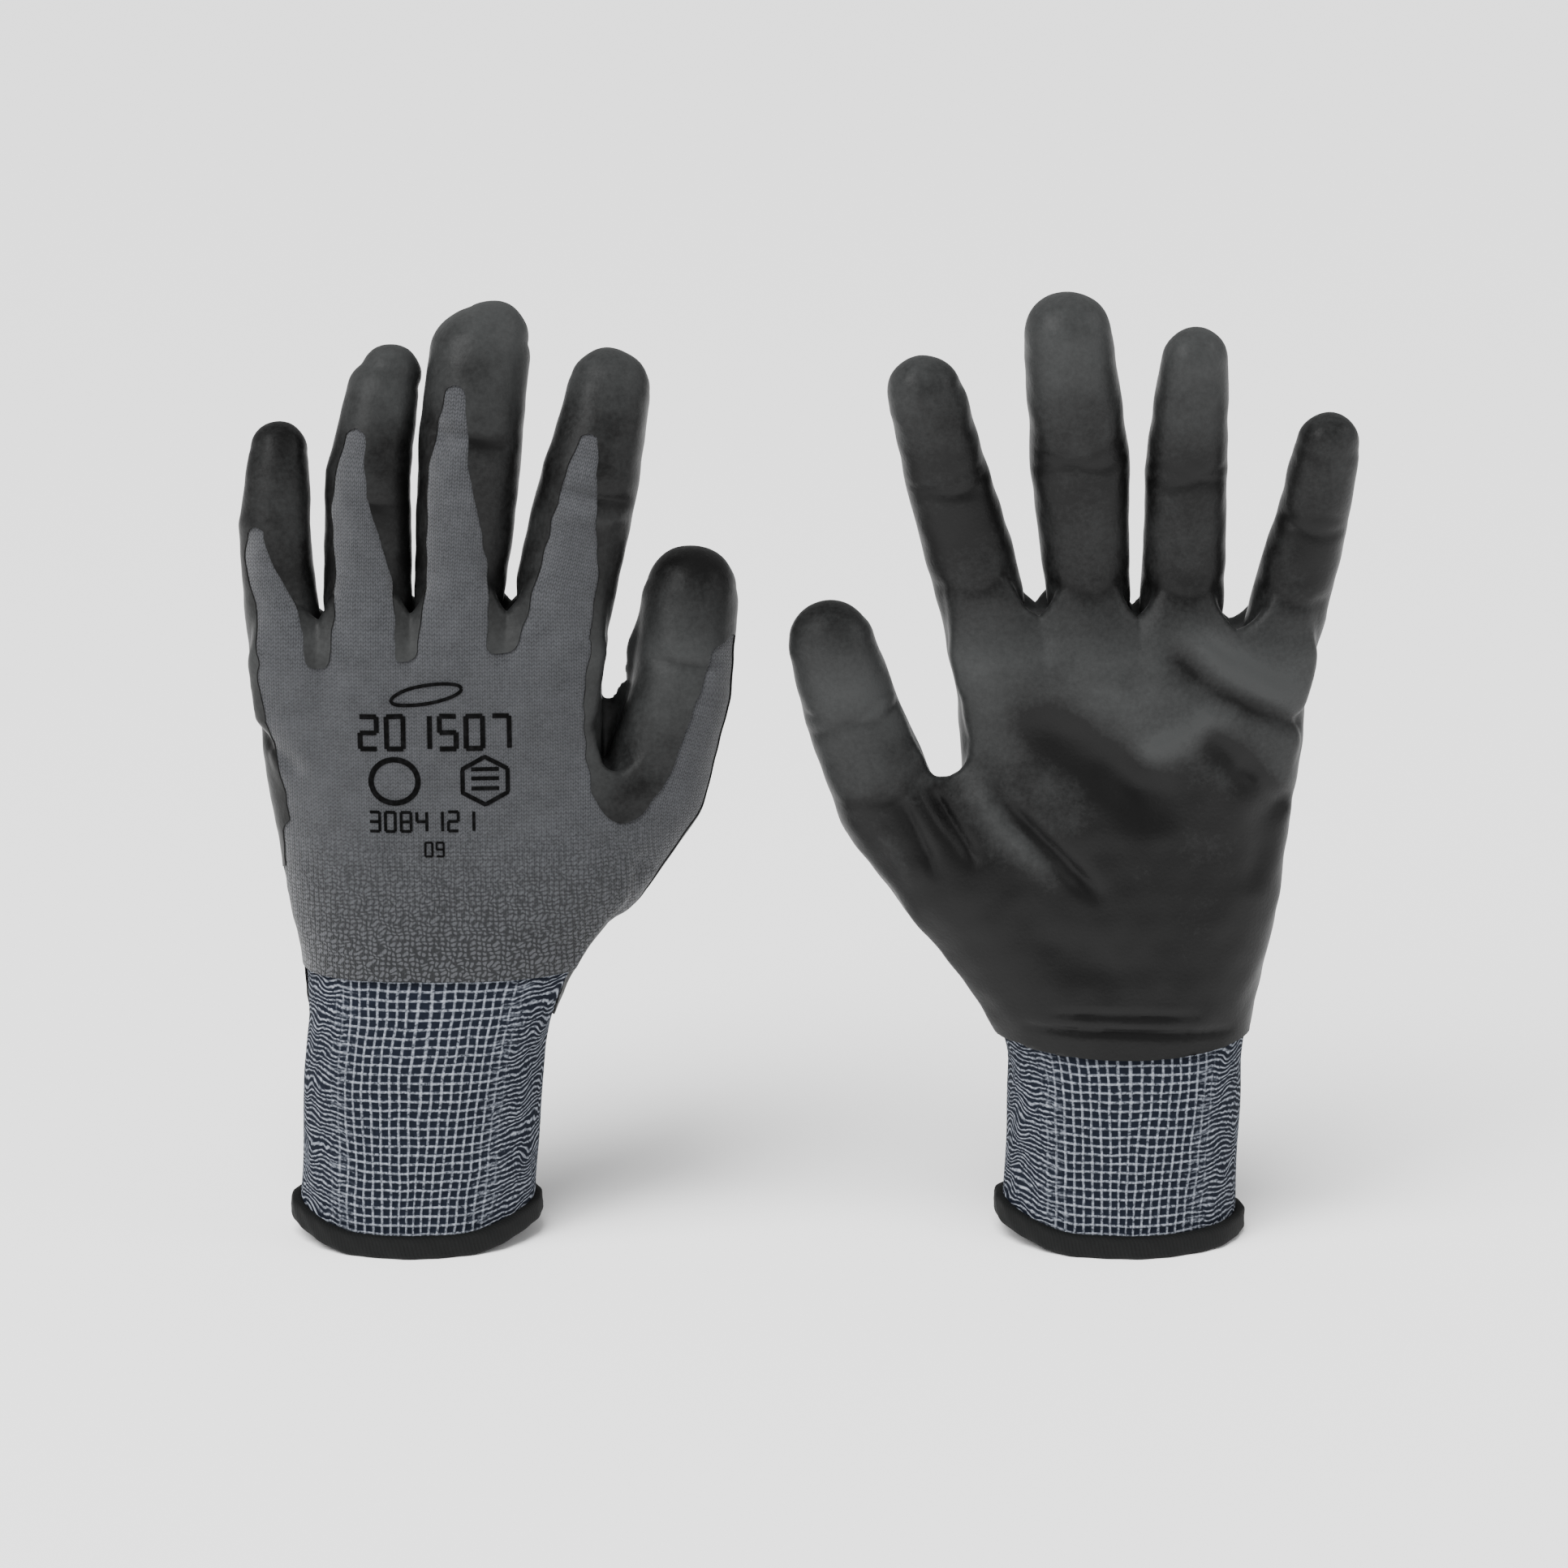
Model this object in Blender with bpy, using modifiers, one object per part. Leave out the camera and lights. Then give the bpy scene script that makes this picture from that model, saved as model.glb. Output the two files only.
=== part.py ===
"""Pair of dipped knit work gloves, both left-hand shape, standing upright on their cuff hems.

Each glove is a knit liner in jointed pieces under a dipped coating, above a ribbed cuff with
an elastic yarn inside it and an overlocked hem below it. In a glove's own frame +X points to
the thumb, +Y to the palm side and +Z to the fingertips. Glove 1 keeps that frame and glove 2
is turned half a turn about Z. The pattern tables are in millimetres for one graded size, and
LENGTH, PALM_WIDTH and PALM_DEPTH grade them. Final units are metres.
"""

import math
from typing import NamedTuple

import bmesh
import bpy
from mathutils import Matrix, Vector

# Driving sizes, metres.
LENGTH = 0.250            # hem to the longest fingertip
PALM_WIDTH = 0.090        # across the knuckles
PALM_DEPTH = 0.031        # back to palm at the knuckles
PAIR_GAP = 0.0168         # clear width between the two thumbs
CUFF_WIDTH = 0.0640
CUFF_DEPTH = 0.0430
HEM_HEIGHT = 0.0060
HEM_THICKNESS = 0.0030
LINER_WALL = 0.0012
COATING_WALL = 0.0008
LAYER_GAP = 0.00045       # air between liner and coating
PIECE_GAP = 0.0004        # between pieces at a joint or a seam
YARN_RADIUS = 0.0006
YARN_TURNS = 4
FINGER_DEPTH_RATIO = 0.86
WRIST_WEDGE = 6.0         # degrees left open behind the wrist hinge
FINGER_WEDGE = 6.5        # degrees left open behind a finger hinge
BARE_SHARE = 0.46         # half-width of the bare strip on a finger's back

# Pattern size that the tables below are drawn for, millimetres.
PATTERN_LENGTH = 250.0
PATTERN_WIDTH = 90.0
PATTERN_DEPTH = 31.0

FINGER_SIDES = 12
PALM_SIDES = 20
CUFF_SIDES = 28
CUFF_PALM_TOP = 54.0      # mm, cuff top at the palm side
CUFF_BACK_TOP = 74.0      # mm, cuff top at the back
WRIST_HALF_DEPTH = 21.5   # mm
THUMB_SPAN = 170.0        # mm, both thumbs' reaches from their hem centres added together


class Digit(NamedTuple):
    """One digit of the pattern: sizes in mm, angles in degrees."""

    name: str
    gap: float            # free space on the little-finger side of its knuckle
    knuckle: float        # height of the knuckle hinge
    width: tuple          # outer width at knuckle, mid joint and near the tip
    lean: tuple           # sideways lean of stub, base and tip
    curl: tuple           # lean to the palm side of stub, base and tip
    length: tuple         # base and tip


class Pattern(NamedTuple):
    """One glove: palm sections, digits, thumb root and where the bare back ends."""

    name: str
    offset: float         # side of the pair centre, -1 or 1
    turn: float           # degrees about Z
    top_middle: float     # mm, middle of the finger row
    palm: tuple           # (z, little-finger edge, thumb edge, back, palm side)
    digits: tuple
    thumb: Digit
    thumb_root: tuple     # (x, y, z) of the thumb stub's buried end
    thumb_hinge: tuple    # (x, y, z) of the thumb section at its hinge
    hem_rise: tuple       # mm raised at the little-finger end and the thumb end


GLOVES = (
    Pattern(
        "glove1", -1.0, 0.0, 7.4,
        ((50, -29.4, 35.4, 21.5, 21.5), (62, -27.6, 38.0, 21.0, 21.0), (76, -27.9, 41.5, 19.5, 20.0),
         (92, -31.0, 45.5, 17.5, 19.0), (110, -33.4, 49.0, 16.5, 17.5), (130, -36.0, 50.0, 15.5, 16.0),
         (150, -37.0, 50.0, 14.2, 14.8), (160, -38.4, 52.0, 12.0, 12.5), (165, -36.0, 49.5, 8.5, 9.0)),
        (Digit("little", 0.0, 167.5, (18.6, 16.8, 14.4), (-3.0, -3.9, 4.5), (2, 5, 13), (23.0, 26.3)),
         Digit("ring", 1.7, 172.0, (22.0, 20.6, 17.6), (1.0, 1.6, 9.0), (2, 5, 13), (31.0, 34.0)),
         Digit("middle", 1.2, 174.0, (22.4, 25.8, 24.2), (4.0, 5.0, 6.0), (2, 5, 13), (36.0, 37.6)),
         Digit("index", 3.8, 175.0, (25.0, 24.2, 20.6), (8.0, 13.0, 12.0), (2, 5, 13), (28.5, 33.0))),
        Digit("thumb", 0.0, 121.0, (26.4, 25.2, 23.6), (20.0, 17.0, 5.0), (0, 4, 12), (26.5, 37.6)),
        (27.0, 2.0, 77.0), (63.8, 3.0, 121.0), (5.0, 2.0),
    ),
    Pattern(
        "glove2", 1.0, 180.0, 0.2,
        ((50, -32.1, 30.8, 21.5, 21.5), (62, -33.2, 35.0, 21.0, 21.0), (76, -36.0, 40.0, 19.5, 20.0),
         (92, -39.2, 43.5, 17.5, 19.0), (110, -40.8, 43.5, 16.5, 17.5), (130, -43.8, 42.8, 15.5, 16.0),
         (150, -45.0, 44.6, 14.2, 14.8), (160, -46.6, 47.4, 12.0, 12.5), (165, -44.0, 45.0, 8.5, 9.0)),
        (Digit("little", 0.0, 169.0, (19.8, 17.6, 15.6), (-12.0, -12.7, -6.5), (2, 5, 13), (24.0, 29.0)),
         Digit("ring", 6.6, 171.0, (20.8, 20.0, 17.0), (-1.0, 0.5, -1.5), (2, 5, 13), (34.0, 38.6)),
         Digit("middle", 3.4, 172.0, (20.6, 24.0, 21.4), (4.0, 4.7, 7.7), (2, 5, 13), (38.0, 42.4)),
         Digit("index", 6.4, 173.0, (21.6, 20.8, 18.2), (12.0, 16.5, 15.0), (2, 5, 13), (31.0, 34.2))),
        Digit("thumb", 0.0, 119.0, (25.6, 24.0, 20.8), (24.0, 20.0, 17.0), (0, 4, 12), (26.0, 31.0)),
        (24.0, 2.0, 75.0), (62.6, 3.0, 119.0), (5.0, 2.0),
    ),
)

SX = PALM_WIDTH * 1000.0 / PATTERN_WIDTH
SY = PALM_DEPTH * 1000.0 / PATTERN_DEPTH
SZ = LENGTH * 1000.0 / PATTERN_LENGTH
COATING_OUT = LAYER_GAP + COATING_WALL
PAIR_SPACING = PAIR_GAP + THUMB_SPAN * 0.001 * SX


def clear_scene():
    """Take every object out of the file."""
    for obj in list(bpy.data.objects):
        bpy.data.objects.remove(obj)


def material(name, colour, roughness):
    """Make one Principled material."""
    mat = bpy.data.materials.new(name)
    mat.use_nodes = True
    node = mat.node_tree.nodes["Principled BSDF"]
    node.inputs["Base Color"].default_value = (*colour, 1.0)
    node.inputs["Roughness"].default_value = roughness
    return mat


def mesh_object(name, rings, mat, collection, cap_start=False, cap_end=False, origin=None):
    """Loft unlike rings of equal count into one mesh object."""
    origin = origin or Vector()
    bm = bmesh.new()
    rows = [[bm.verts.new(p - origin) for p in ring] for ring in rings]
    for low, high in zip(rows, rows[1:]):
        if len(high) == 1:
            for i in range(len(low)):
                bm.faces.new((low[i], low[(i + 1) % len(low)], high[0]))
            continue
        for i in range(len(low)):
            j = (i + 1) % len(low)
            bm.faces.new((low[i], low[j], high[j], high[i]))
    if cap_start:
        bm.faces.new(list(reversed(rows[0])))
    if cap_end:
        bm.faces.new(rows[-1])
    mesh = bpy.data.meshes.new(name)
    bm.to_mesh(mesh)
    bm.free()
    mesh.materials.append(mat)
    obj = bpy.data.objects.new(name, mesh)
    obj.location = origin
    collection.objects.link(obj)
    return obj


def strip_object(name, rows, mat, collection, origin):
    """Loft open rows of points into a sheet."""
    bm = bmesh.new()
    grid = [[bm.verts.new(p - origin) for p in row] for row in rows]
    for low, high in zip(grid, grid[1:]):
        for i in range(len(low) - 1):
            bm.faces.new((low[i], low[i + 1], high[i + 1], high[i]))
    mesh = bpy.data.meshes.new(name)
    bm.to_mesh(mesh)
    bm.free()
    mesh.materials.append(mat)
    obj = bpy.data.objects.new(name, mesh)
    obj.location = origin
    collection.objects.link(obj)
    return obj


def prism(name, outline, y_low, y_high, collection):
    """Closed prism on an (x, z) outline given counter-clockwise as seen from -Y."""
    bm = bmesh.new()
    low = [bm.verts.new((x, y_low, z)) for x, z in outline]
    face = bm.faces.new(low)
    out = bmesh.ops.extrude_face_region(bm, geom=[face])
    moved = [v for v in out["geom"] if isinstance(v, bmesh.types.BMVert)]
    bmesh.ops.translate(bm, verts=moved, vec=(0, y_high - y_low, 0))
    bmesh.ops.recalc_face_normals(bm, faces=bm.faces[:])
    mesh = bpy.data.meshes.new(name)
    bm.to_mesh(mesh)
    bm.free()
    obj = bpy.data.objects.new(name, mesh)
    collection.objects.link(obj)
    return obj


def as_cutter(obj):
    """Keep a tool body out of the finished part."""
    obj.hide_render = True
    obj.display_type = "WIRE"
    return obj


def boolean(obj, tool, operation):
    """Add one exact Boolean."""
    mod = obj.modifiers.new(operation.lower(), "BOOLEAN")
    mod.operation = operation
    mod.solver = "EXACT"
    mod.object = tool


def shell(obj, thickness):
    """Give a surface a wall on its inner side."""
    mod = obj.modifiers.new("wall", "SOLIDIFY")
    mod.thickness = thickness
    mod.offset = -1.0
    mod.use_even_offset = True


def frame(lean, curl):
    """Axes of a digit segment: lateral, to the palm side, and along."""
    a, b = math.radians(lean), math.radians(curl)
    along = Vector((math.sin(a) * math.cos(b), math.sin(b), math.cos(a) * math.cos(b)))
    lateral = Vector((math.cos(a), 0.0, -math.sin(a)))
    normal = Vector((-math.sin(a) * math.sin(b), math.cos(b), -math.cos(a) * math.sin(b)))
    return lateral, normal, along


def ring(centre, lateral, normal, half_width, half_depth, sides, power=2.0):
    """One closed section, wound so that a loft along the digit faces out."""
    points = []
    for i in range(sides):
        t = 2.0 * math.pi * i / sides
        c, s = math.cos(t), math.sin(t)
        x = math.copysign(abs(c) ** (2.0 / power), c) * half_width
        y = math.copysign(abs(s) ** (2.0 / power), s) * half_depth
        points.append(centre + lateral * x + normal * y)
    return points


def on_plane(points, along, at, plane_normal):
    """Slide points along a direction onto a plane."""
    moved = []
    for p in points:
        step = (at - p).dot(plane_normal) / along.dot(plane_normal)
        moved.append(p + along * step)
    return moved


class Chain:
    """Stub, base and tip of one digit with its two hinges, in the glove's frame."""

    def __init__(self, digit, root, knuckle):
        self.digit = digit
        self.half = [w * 0.5 * 0.001 * SX for w in digit.width]
        self.deep = [w * 0.5 * 0.001 * SY * FINGER_DEPTH_RATIO for w in digit.width]
        self.frames = [frame(l, c) for l, c in zip(digit.lean, digit.curl)]
        self.root = root
        self.p0 = knuckle
        self.p1 = self.p0 + self.frames[1][2] * (digit.length[0] * 0.001 * SZ)
        self.p2 = self.p1 + self.frames[2][2] * (digit.length[1] * 0.001 * SZ)
        self.miter0 = frame((digit.lean[0] + digit.lean[1]) / 2, (digit.curl[0] + digit.curl[1]) / 2)
        self.miter1 = frame((digit.lean[1] + digit.lean[2]) / 2, (digit.curl[1] + digit.curl[2]) / 2)
        self.h0 = self.p0 + self.miter0[1] * self.deep[0]
        self.h1 = self.p1 + self.miter1[1] * self.deep[1]

    def opened(self, miter, hinge):
        """Plane of a piece's start: turned open about its hinge and stepped off by the gap."""
        turn = Matrix.Rotation(-math.radians(FINGER_WEDGE), 3, miter[0])
        normal = turn @ miter[2]
        return hinge + miter[2] * PIECE_GAP, normal

    def stub_rings(self, inset, reach=0.0):
        lateral, normal, along = self.frames[0]
        start = (self.p0 - self.root)
        direction = start.normalized()
        rings = []
        swells = (0.76, 1.20, 1.0) if self.digit.name == "thumb" else (0.60, 0.95, 1.0)
        for share, swell in zip((0.0, 0.55, 1.0), swells):
            centre = self.root + start * share
            rings.append(ring(centre, lateral, normal, self.half[0] * swell - inset,
                              self.deep[0] * swell - inset, FINGER_SIDES))
        rings[-1] = on_plane(rings[-1], direction, self.h0 + self.miter0[2] * reach, self.miter0[2])
        return rings

    def base_rings(self, inset, stretch=0.0):
        lateral, normal, along = self.frames[1]
        rings = []
        for share in (0.0, 0.5, 1.0):
            width = self.half[0] + (self.half[1] - self.half[0]) * share
            depth = self.deep[0] + (self.deep[1] - self.deep[0]) * share
            centre = self.p0.lerp(self.p1, share)
            rings.append(ring(centre, lateral, normal, width - inset, depth - inset, FINGER_SIDES))
        at, plane = self.opened(self.miter0, self.h0)
        rings[0] = on_plane(rings[0], along, at - self.miter0[2] * stretch, plane)
        rings[-1] = on_plane(rings[-1], along, self.h1 + self.miter1[2] * stretch, self.miter1[2])
        return rings

    def tip_rings(self, inset):
        lateral, normal, along = self.frames[2]
        end = self.digit.length[1] * 0.001 * SZ - inset
        rings = []
        for share, size in ((0.0, 0.0), (0.35, 0.45), (0.68, 0.92), (0.86, 0.74), (0.96, 0.42)):
            if share < 0.7:
                width = self.half[1] + (self.half[2] - self.half[1]) * min(1.0, share / 0.68)
                depth = self.deep[1] + (self.deep[2] - self.deep[1]) * min(1.0, share / 0.68)
            else:
                width, depth = self.half[2], self.deep[2]
                drop = (share - 0.68) / 0.32
                squeeze = math.sqrt(max(0.0, 1.0 - drop ** 2.2))
                width, depth = width * squeeze, depth * squeeze
            centre = self.p1 + along * (end * share)
            rings.append(ring(centre, lateral, normal, width - inset, depth - inset, FINGER_SIDES))
        at, plane = self.opened(self.miter1, self.h1)
        rings[0] = on_plane(rings[0], along, at, plane)
        rings.append([self.p1 + along * end])
        return rings


def palm_rings(pattern, inset, low=None, high=0.0):
    """Sections of the hand body without its digits."""
    rings = []
    rows = pattern.palm
    for k, (z, x0, x1, back, front) in enumerate(rows):
        wide = (x1 - x0) * 0.5 * 0.001 * SX - inset
        deep = (back + front) * 0.5 * 0.001 * SY - inset
        slope = 0.10 if k == len(rows) - 1 else 0.06 if k == len(rows) - 2 else 0.0
        height = z * 0.001 * SZ
        if k == len(rows) - 1:
            height -= inset
        centre = Vector(((x0 + x1) * 0.5 * 0.001 * SX, (front - back) * 0.5 * 0.001 * SY, height))
        points = ring(centre, Vector((1, 0, 0)), Vector((0, 1, 0)), wide, deep, PALM_SIDES, 2.5)
        points = [Vector((p.x, p.y, p.z + slope * (p.x - centre.x))) for p in points]
        rings.append(points)
    if low is not None:
        rings[0] = [Vector((p.x, p.y, low)) for p in rings[0]]
    return rings


def wrist_plane():
    """Hinge point and normal of the slanted seam between cuff and hand."""
    half = WRIST_HALF_DEPTH * 0.001 * SY
    hinge = Vector((0, half, CUFF_PALM_TOP * 0.001 * SZ))
    rise = (CUFF_BACK_TOP - CUFF_PALM_TOP) * 0.001 * SZ
    normal = Vector((0, rise, 2 * half)).normalized()
    return hinge, normal


def slab(name, at, normal, collection, size=0.30):
    """Box whose top face lies on a plane, used to trim what is under it."""
    bm = bmesh.new()
    bmesh.ops.create_cube(bm, size=1.0)
    bmesh.ops.scale(bm, verts=bm.verts[:], vec=(size, size, 0.1))
    bmesh.ops.translate(bm, verts=bm.verts[:], vec=(0, 0, -0.05))
    spin = Vector((0, 0, 1)).rotation_difference(normal).to_matrix()
    bmesh.ops.rotate(bm, verts=bm.verts[:], cent=(0, 0, 0), matrix=spin)
    bmesh.ops.translate(bm, verts=bm.verts[:], vec=at)
    mesh = bpy.data.meshes.new(name)
    bm.to_mesh(mesh)
    bm.free()
    obj = bpy.data.objects.new(name, mesh)
    collection.objects.link(obj)
    return as_cutter(obj)


class Glove:
    """Builds one glove's pieces under its own root."""

    def __init__(self, pattern, mats, parts, tools):
        self.p = pattern
        self.mats = mats
        self.parts = parts
        self.tools = tools
        self.made = []
        self.chains = self.place_digits()

    def place_digits(self):
        """Set the digits side by side from their widths and gaps."""
        digits = self.p.digits
        total = sum(d.width[0] + d.gap for d in digits)
        x = self.p.top_middle - total * 0.5
        chains = {}
        for d in digits:
            x += d.gap
            centre = (x + d.width[0] * 0.5) * 0.001 * SX
            x += d.width[0]
            knuckle = Vector((centre, 0.0, d.knuckle * 0.001 * SZ))
            down = frame(d.lean[0], d.curl[0])[2]
            chains[d.name] = Chain(d, knuckle - down * (24.0 * 0.001 * SZ), knuckle)
        t = self.p.thumb
        root, hinge = self.p.thumb_root, self.p.thumb_hinge
        scale = (0.001 * SX, 0.001 * SY, 0.001 * SZ)
        chains["thumb"] = Chain(t, Vector(v * s for v, s in zip(root, scale)),
                                Vector(v * s for v, s in zip(hinge, scale)))
        return chains

    def add(self, suffix, rings, mat, wall=None, origin=None, **caps):
        obj = mesh_object(f"{self.p.name}_{suffix}", rings, self.mats[mat], self.parts, origin=origin, **caps)
        if wall:
            shell(obj, wall)
        self.made.append(obj)
        return obj

    def tool(self, suffix, rings):
        obj = mesh_object(f"{self.p.name}_{suffix}", rings, self.mats["liner"], self.tools,
                          cap_start=True, cap_end=True)
        self.made.append(obj)
        return as_cutter(obj)

    def hand_solid(self, label, inset, reach, low):
        """Palm and stubs joined as one closed tool body."""
        palm = self.tool(f"{label}_palm", palm_rings(self.p, inset, low=low))
        for name, chain in self.chains.items():
            boolean(palm, self.tool(f"{label}_{name}", chain.stub_rings(inset, reach)), "UNION")
        return palm

    def hem(self):
        """Overlocked hem: a band with a flat underside, raised a little at both ends."""
        half_w, half_d = CUFF_WIDTH * 0.5 + HEM_THICKNESS * 0.5, CUFF_DEPTH * 0.5 + HEM_THICKNESS * 0.5
        loops = [[] for _ in range(6)]
        for i in range(CUFF_SIDES):
            t = 2 * math.pi * i / CUFF_SIDES
            c, s = math.cos(t), math.sin(t)
            rise = self.bow(c)
            for k, (out, up) in enumerate(((0.32, 0.0), (0.5, 0.30), (0.44, 0.9), (-0.38, 0.9), (-0.5, 0.3), (-0.32, 0.0))):
                w = half_w + HEM_THICKNESS * (out - 0.5) + PIECE_GAP
                d = half_d + HEM_THICKNESS * (out - 0.5) + PIECE_GAP
                loops[k].append(Vector((w * c, d * s, HEM_HEIGHT * up + rise)))
        loops.append(loops[0])
        bm = bmesh.new()
        rows = [[bm.verts.new(p) for p in loop] for loop in loops[:-1]]
        rows.append(rows[0])
        for low, high in zip(rows, rows[1:]):
            for i in range(CUFF_SIDES):
                j = (i + 1) % CUFF_SIDES
                bm.faces.new((low[i], low[j], high[j], high[i]))
        bmesh.ops.recalc_face_normals(bm, faces=bm.faces[:])
        mesh = bpy.data.meshes.new(f"{self.p.name}_hem")
        bm.to_mesh(mesh)
        bm.free()
        mesh.materials.append(self.mats["hem"])
        obj = bpy.data.objects.new(f"{self.p.name}_hem", mesh)
        self.parts.objects.link(obj)
        self.made.append(obj)

    def bow(self, c):
        """Height of the hem's underside at the lateral share c of its half width."""
        ends = self.p.hem_rise[0] if c < 0 else self.p.hem_rise[1]
        return ends * 0.001 * SZ * max(0.0, (abs(c) - 0.72) / 0.28)

    def section(self, z_row, inset, sides):
        """Points of one palm section in the row's own plane."""
        z, x0, x1, back, front = z_row
        wide = (x1 - x0) * 0.5 * 0.001 * SX - inset
        deep = (back + front) * 0.5 * 0.001 * SY - inset
        centre = Vector(((x0 + x1) * 0.5 * 0.001 * SX, (front - back) * 0.5 * 0.001 * SY, z * 0.001 * SZ))
        return ring(centre, Vector((1, 0, 0)), Vector((0, 1, 0)), wide, deep, sides, 2.5)

    def cuff_point(self, wrist, t, z, inset):
        """Point of the cuff's wall between the round hem and the wrist section."""
        share = min(1.0, max(0.0, (z - HEM_HEIGHT) / (wrist[0] * 0.001 * SZ - HEM_HEIGHT)))
        power = 2.0 + 0.5 * share
        top_w = (wrist[2] - wrist[1]) * 0.5 * 0.001 * SX - COATING_OUT
        top_d = (wrist[3] + wrist[4]) * 0.5 * 0.001 * SY - COATING_OUT
        half_w = CUFF_WIDTH * 0.5 + (top_w - CUFF_WIDTH * 0.5) * share - inset
        half_d = CUFF_DEPTH * 0.5 + (top_d - CUFF_DEPTH * 0.5) * share - inset
        c, s = math.cos(t), math.sin(t)
        x = math.copysign(abs(c) ** (2.0 / power), c) * half_w
        y = math.copysign(abs(s) ** (2.0 / power), s) * half_d
        return Vector(((wrist[1] + wrist[2]) * 0.5 * 0.001 * SX * share + x, y, z))

    def cuff(self):
        """Ribbed cuff tube, blended to the wrist and cut by the slanted wrist seam."""
        hinge, normal = wrist_plane()
        wrist = self.p.palm[0]
        top = wrist[0] * 0.001 * SZ
        turns = [2 * math.pi * i / CUFF_SIDES for i in range(CUFF_SIDES)]
        foot = HEM_HEIGHT * 0.9 + PIECE_GAP
        rings = [[self.cuff_point(wrist, t, foot, 0.0) + Vector((0, 0, self.bow(math.cos(t)))) for t in turns]]
        rings.append([self.cuff_point(wrist, t, (foot + top) * 0.5, 0.0) for t in turns])
        low = [self.cuff_point(wrist, t, top, 0.0) for t in turns]
        high = self.section(self.p.palm[1], COATING_OUT, CUFF_SIDES)
        rings.append([a + (b - a) * ((hinge - a).dot(normal) / (b - a).dot(normal)) for a, b in zip(low, high)])
        self.wall = rings
        self.add("cuff", rings, "cuff", wall=LINER_WALL)

    def wall_point(self, i, z, inset):
        """Point inside the cuff's made wall, below ring corner i at height z."""
        spots = []
        for k in (i, i + CUFF_SIDES // 2):
            column = [ring[k % CUFF_SIDES] for ring in self.wall]
            low, high = (column[0], column[1]) if z < column[1].z else (column[1], column[2])
            spots.append(low.lerp(high, (z - low.z) / (high.z - low.z)))
        half = (spots[0] - spots[1]) * 0.5
        t = 2 * math.pi * i / CUFF_SIDES
        out = Vector((math.cos(t) * CUFF_DEPTH, math.sin(t) * CUFF_WIDTH, 0)).normalized()
        return spots[0] - out * inset if half.length > inset else spots[0]

    def elastic(self):
        """Elastic yarn wound inside the cuff."""
        inner = LINER_WALL + PIECE_GAP + YARN_RADIUS
        curve = bpy.data.curves.new(f"{self.p.name}_cuff_elastic", "CURVE")
        curve.dimensions = "3D"
        curve.bevel_depth = YARN_RADIUS
        curve.bevel_resolution = 0
        curve.use_fill_caps = True
        count = YARN_TURNS * CUFF_SIDES + 1
        spline = curve.splines.new("POLY")
        spline.points.add(count - 1)
        wrist = self.p.palm[0]
        low, high = HEM_HEIGHT + 0.008 * SZ, wrist[0] * 0.001 * SZ - 0.003
        for i in range(count):
            z = low + (high - low) * i / (count - 1)
            point = self.wall_point(i, z, inner + 0.0003)
            spline.points[i].co = (*point, 1.0)
        obj = bpy.data.objects.new(f"{self.p.name}_cuff_elastic", curve)
        curve.materials.append(self.mats["elastic"])
        self.parts.objects.link(obj)
        self.made.append(obj)

    def hand(self):
        """Hollow liner of the palm with its stubs, and the coating over it."""
        hinge, normal = wrist_plane()
        outer = COATING_OUT
        inner = outer + LINER_WALL
        opened = Matrix.Rotation(-math.radians(WRIST_WEDGE), 3, Vector((1, 0, 0))) @ normal
        below = 0.040 * SZ
        body = mesh_object(f"{self.p.name}_hand_liner", palm_rings(self.p, outer, low=below),
                           self.mats["liner"], self.parts, cap_start=True, cap_end=True)
        body.location = (0, 0, 0)
        self.made.append(body)
        for name, chain in self.chains.items():
            boolean(body, self.tool(f"liner_{name}", chain.stub_rings(outer)), "UNION")
        hollow = self.hand_solid("hollow", inner, 0.004, below - 0.005)
        boolean(body, hollow, "DIFFERENCE")
        seam = slab(f"{self.p.name}_seam", hinge + Vector((0, 0, 1)) * PIECE_GAP, opened, self.tools)
        self.made.append(seam)
        boolean(body, seam, "DIFFERENCE")

        skin = mesh_object(f"{self.p.name}_hand_coating", palm_rings(self.p, 0.0, low=below),
                           self.mats["coating"], self.parts, cap_start=True, cap_end=True)
        self.made.append(skin)
        for name, chain in self.chains.items():
            boolean(skin, self.tool(f"skin_{name}", chain.stub_rings(0.0)), "UNION")
        cavity = self.hand_solid("cavity", COATING_WALL, 0.004, below - 0.005)
        boolean(skin, cavity, "DIFFERENCE")
        edge = slab(f"{self.p.name}_edge", hinge + Vector((0, 0, 1)) * (PIECE_GAP * 2), opened, self.tools)
        self.made.append(edge)
        boolean(skin, edge, "DIFFERENCE")
        bare = prism(f"{self.p.name}_bare_back", self.bare_outline(), -0.08, -0.004 * SY, self.tools)
        as_cutter(bare)
        self.made.append(bare)
        boolean(skin, bare, "DIFFERENCE")
        thumb = prism(f"{self.p.name}_bare_thumb", self.thumb_outline(), -0.079, -0.0031 * SY, self.tools)
        as_cutter(thumb)
        self.made.append(thumb)
        boolean(skin, thumb, "DIFFERENCE")

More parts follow.
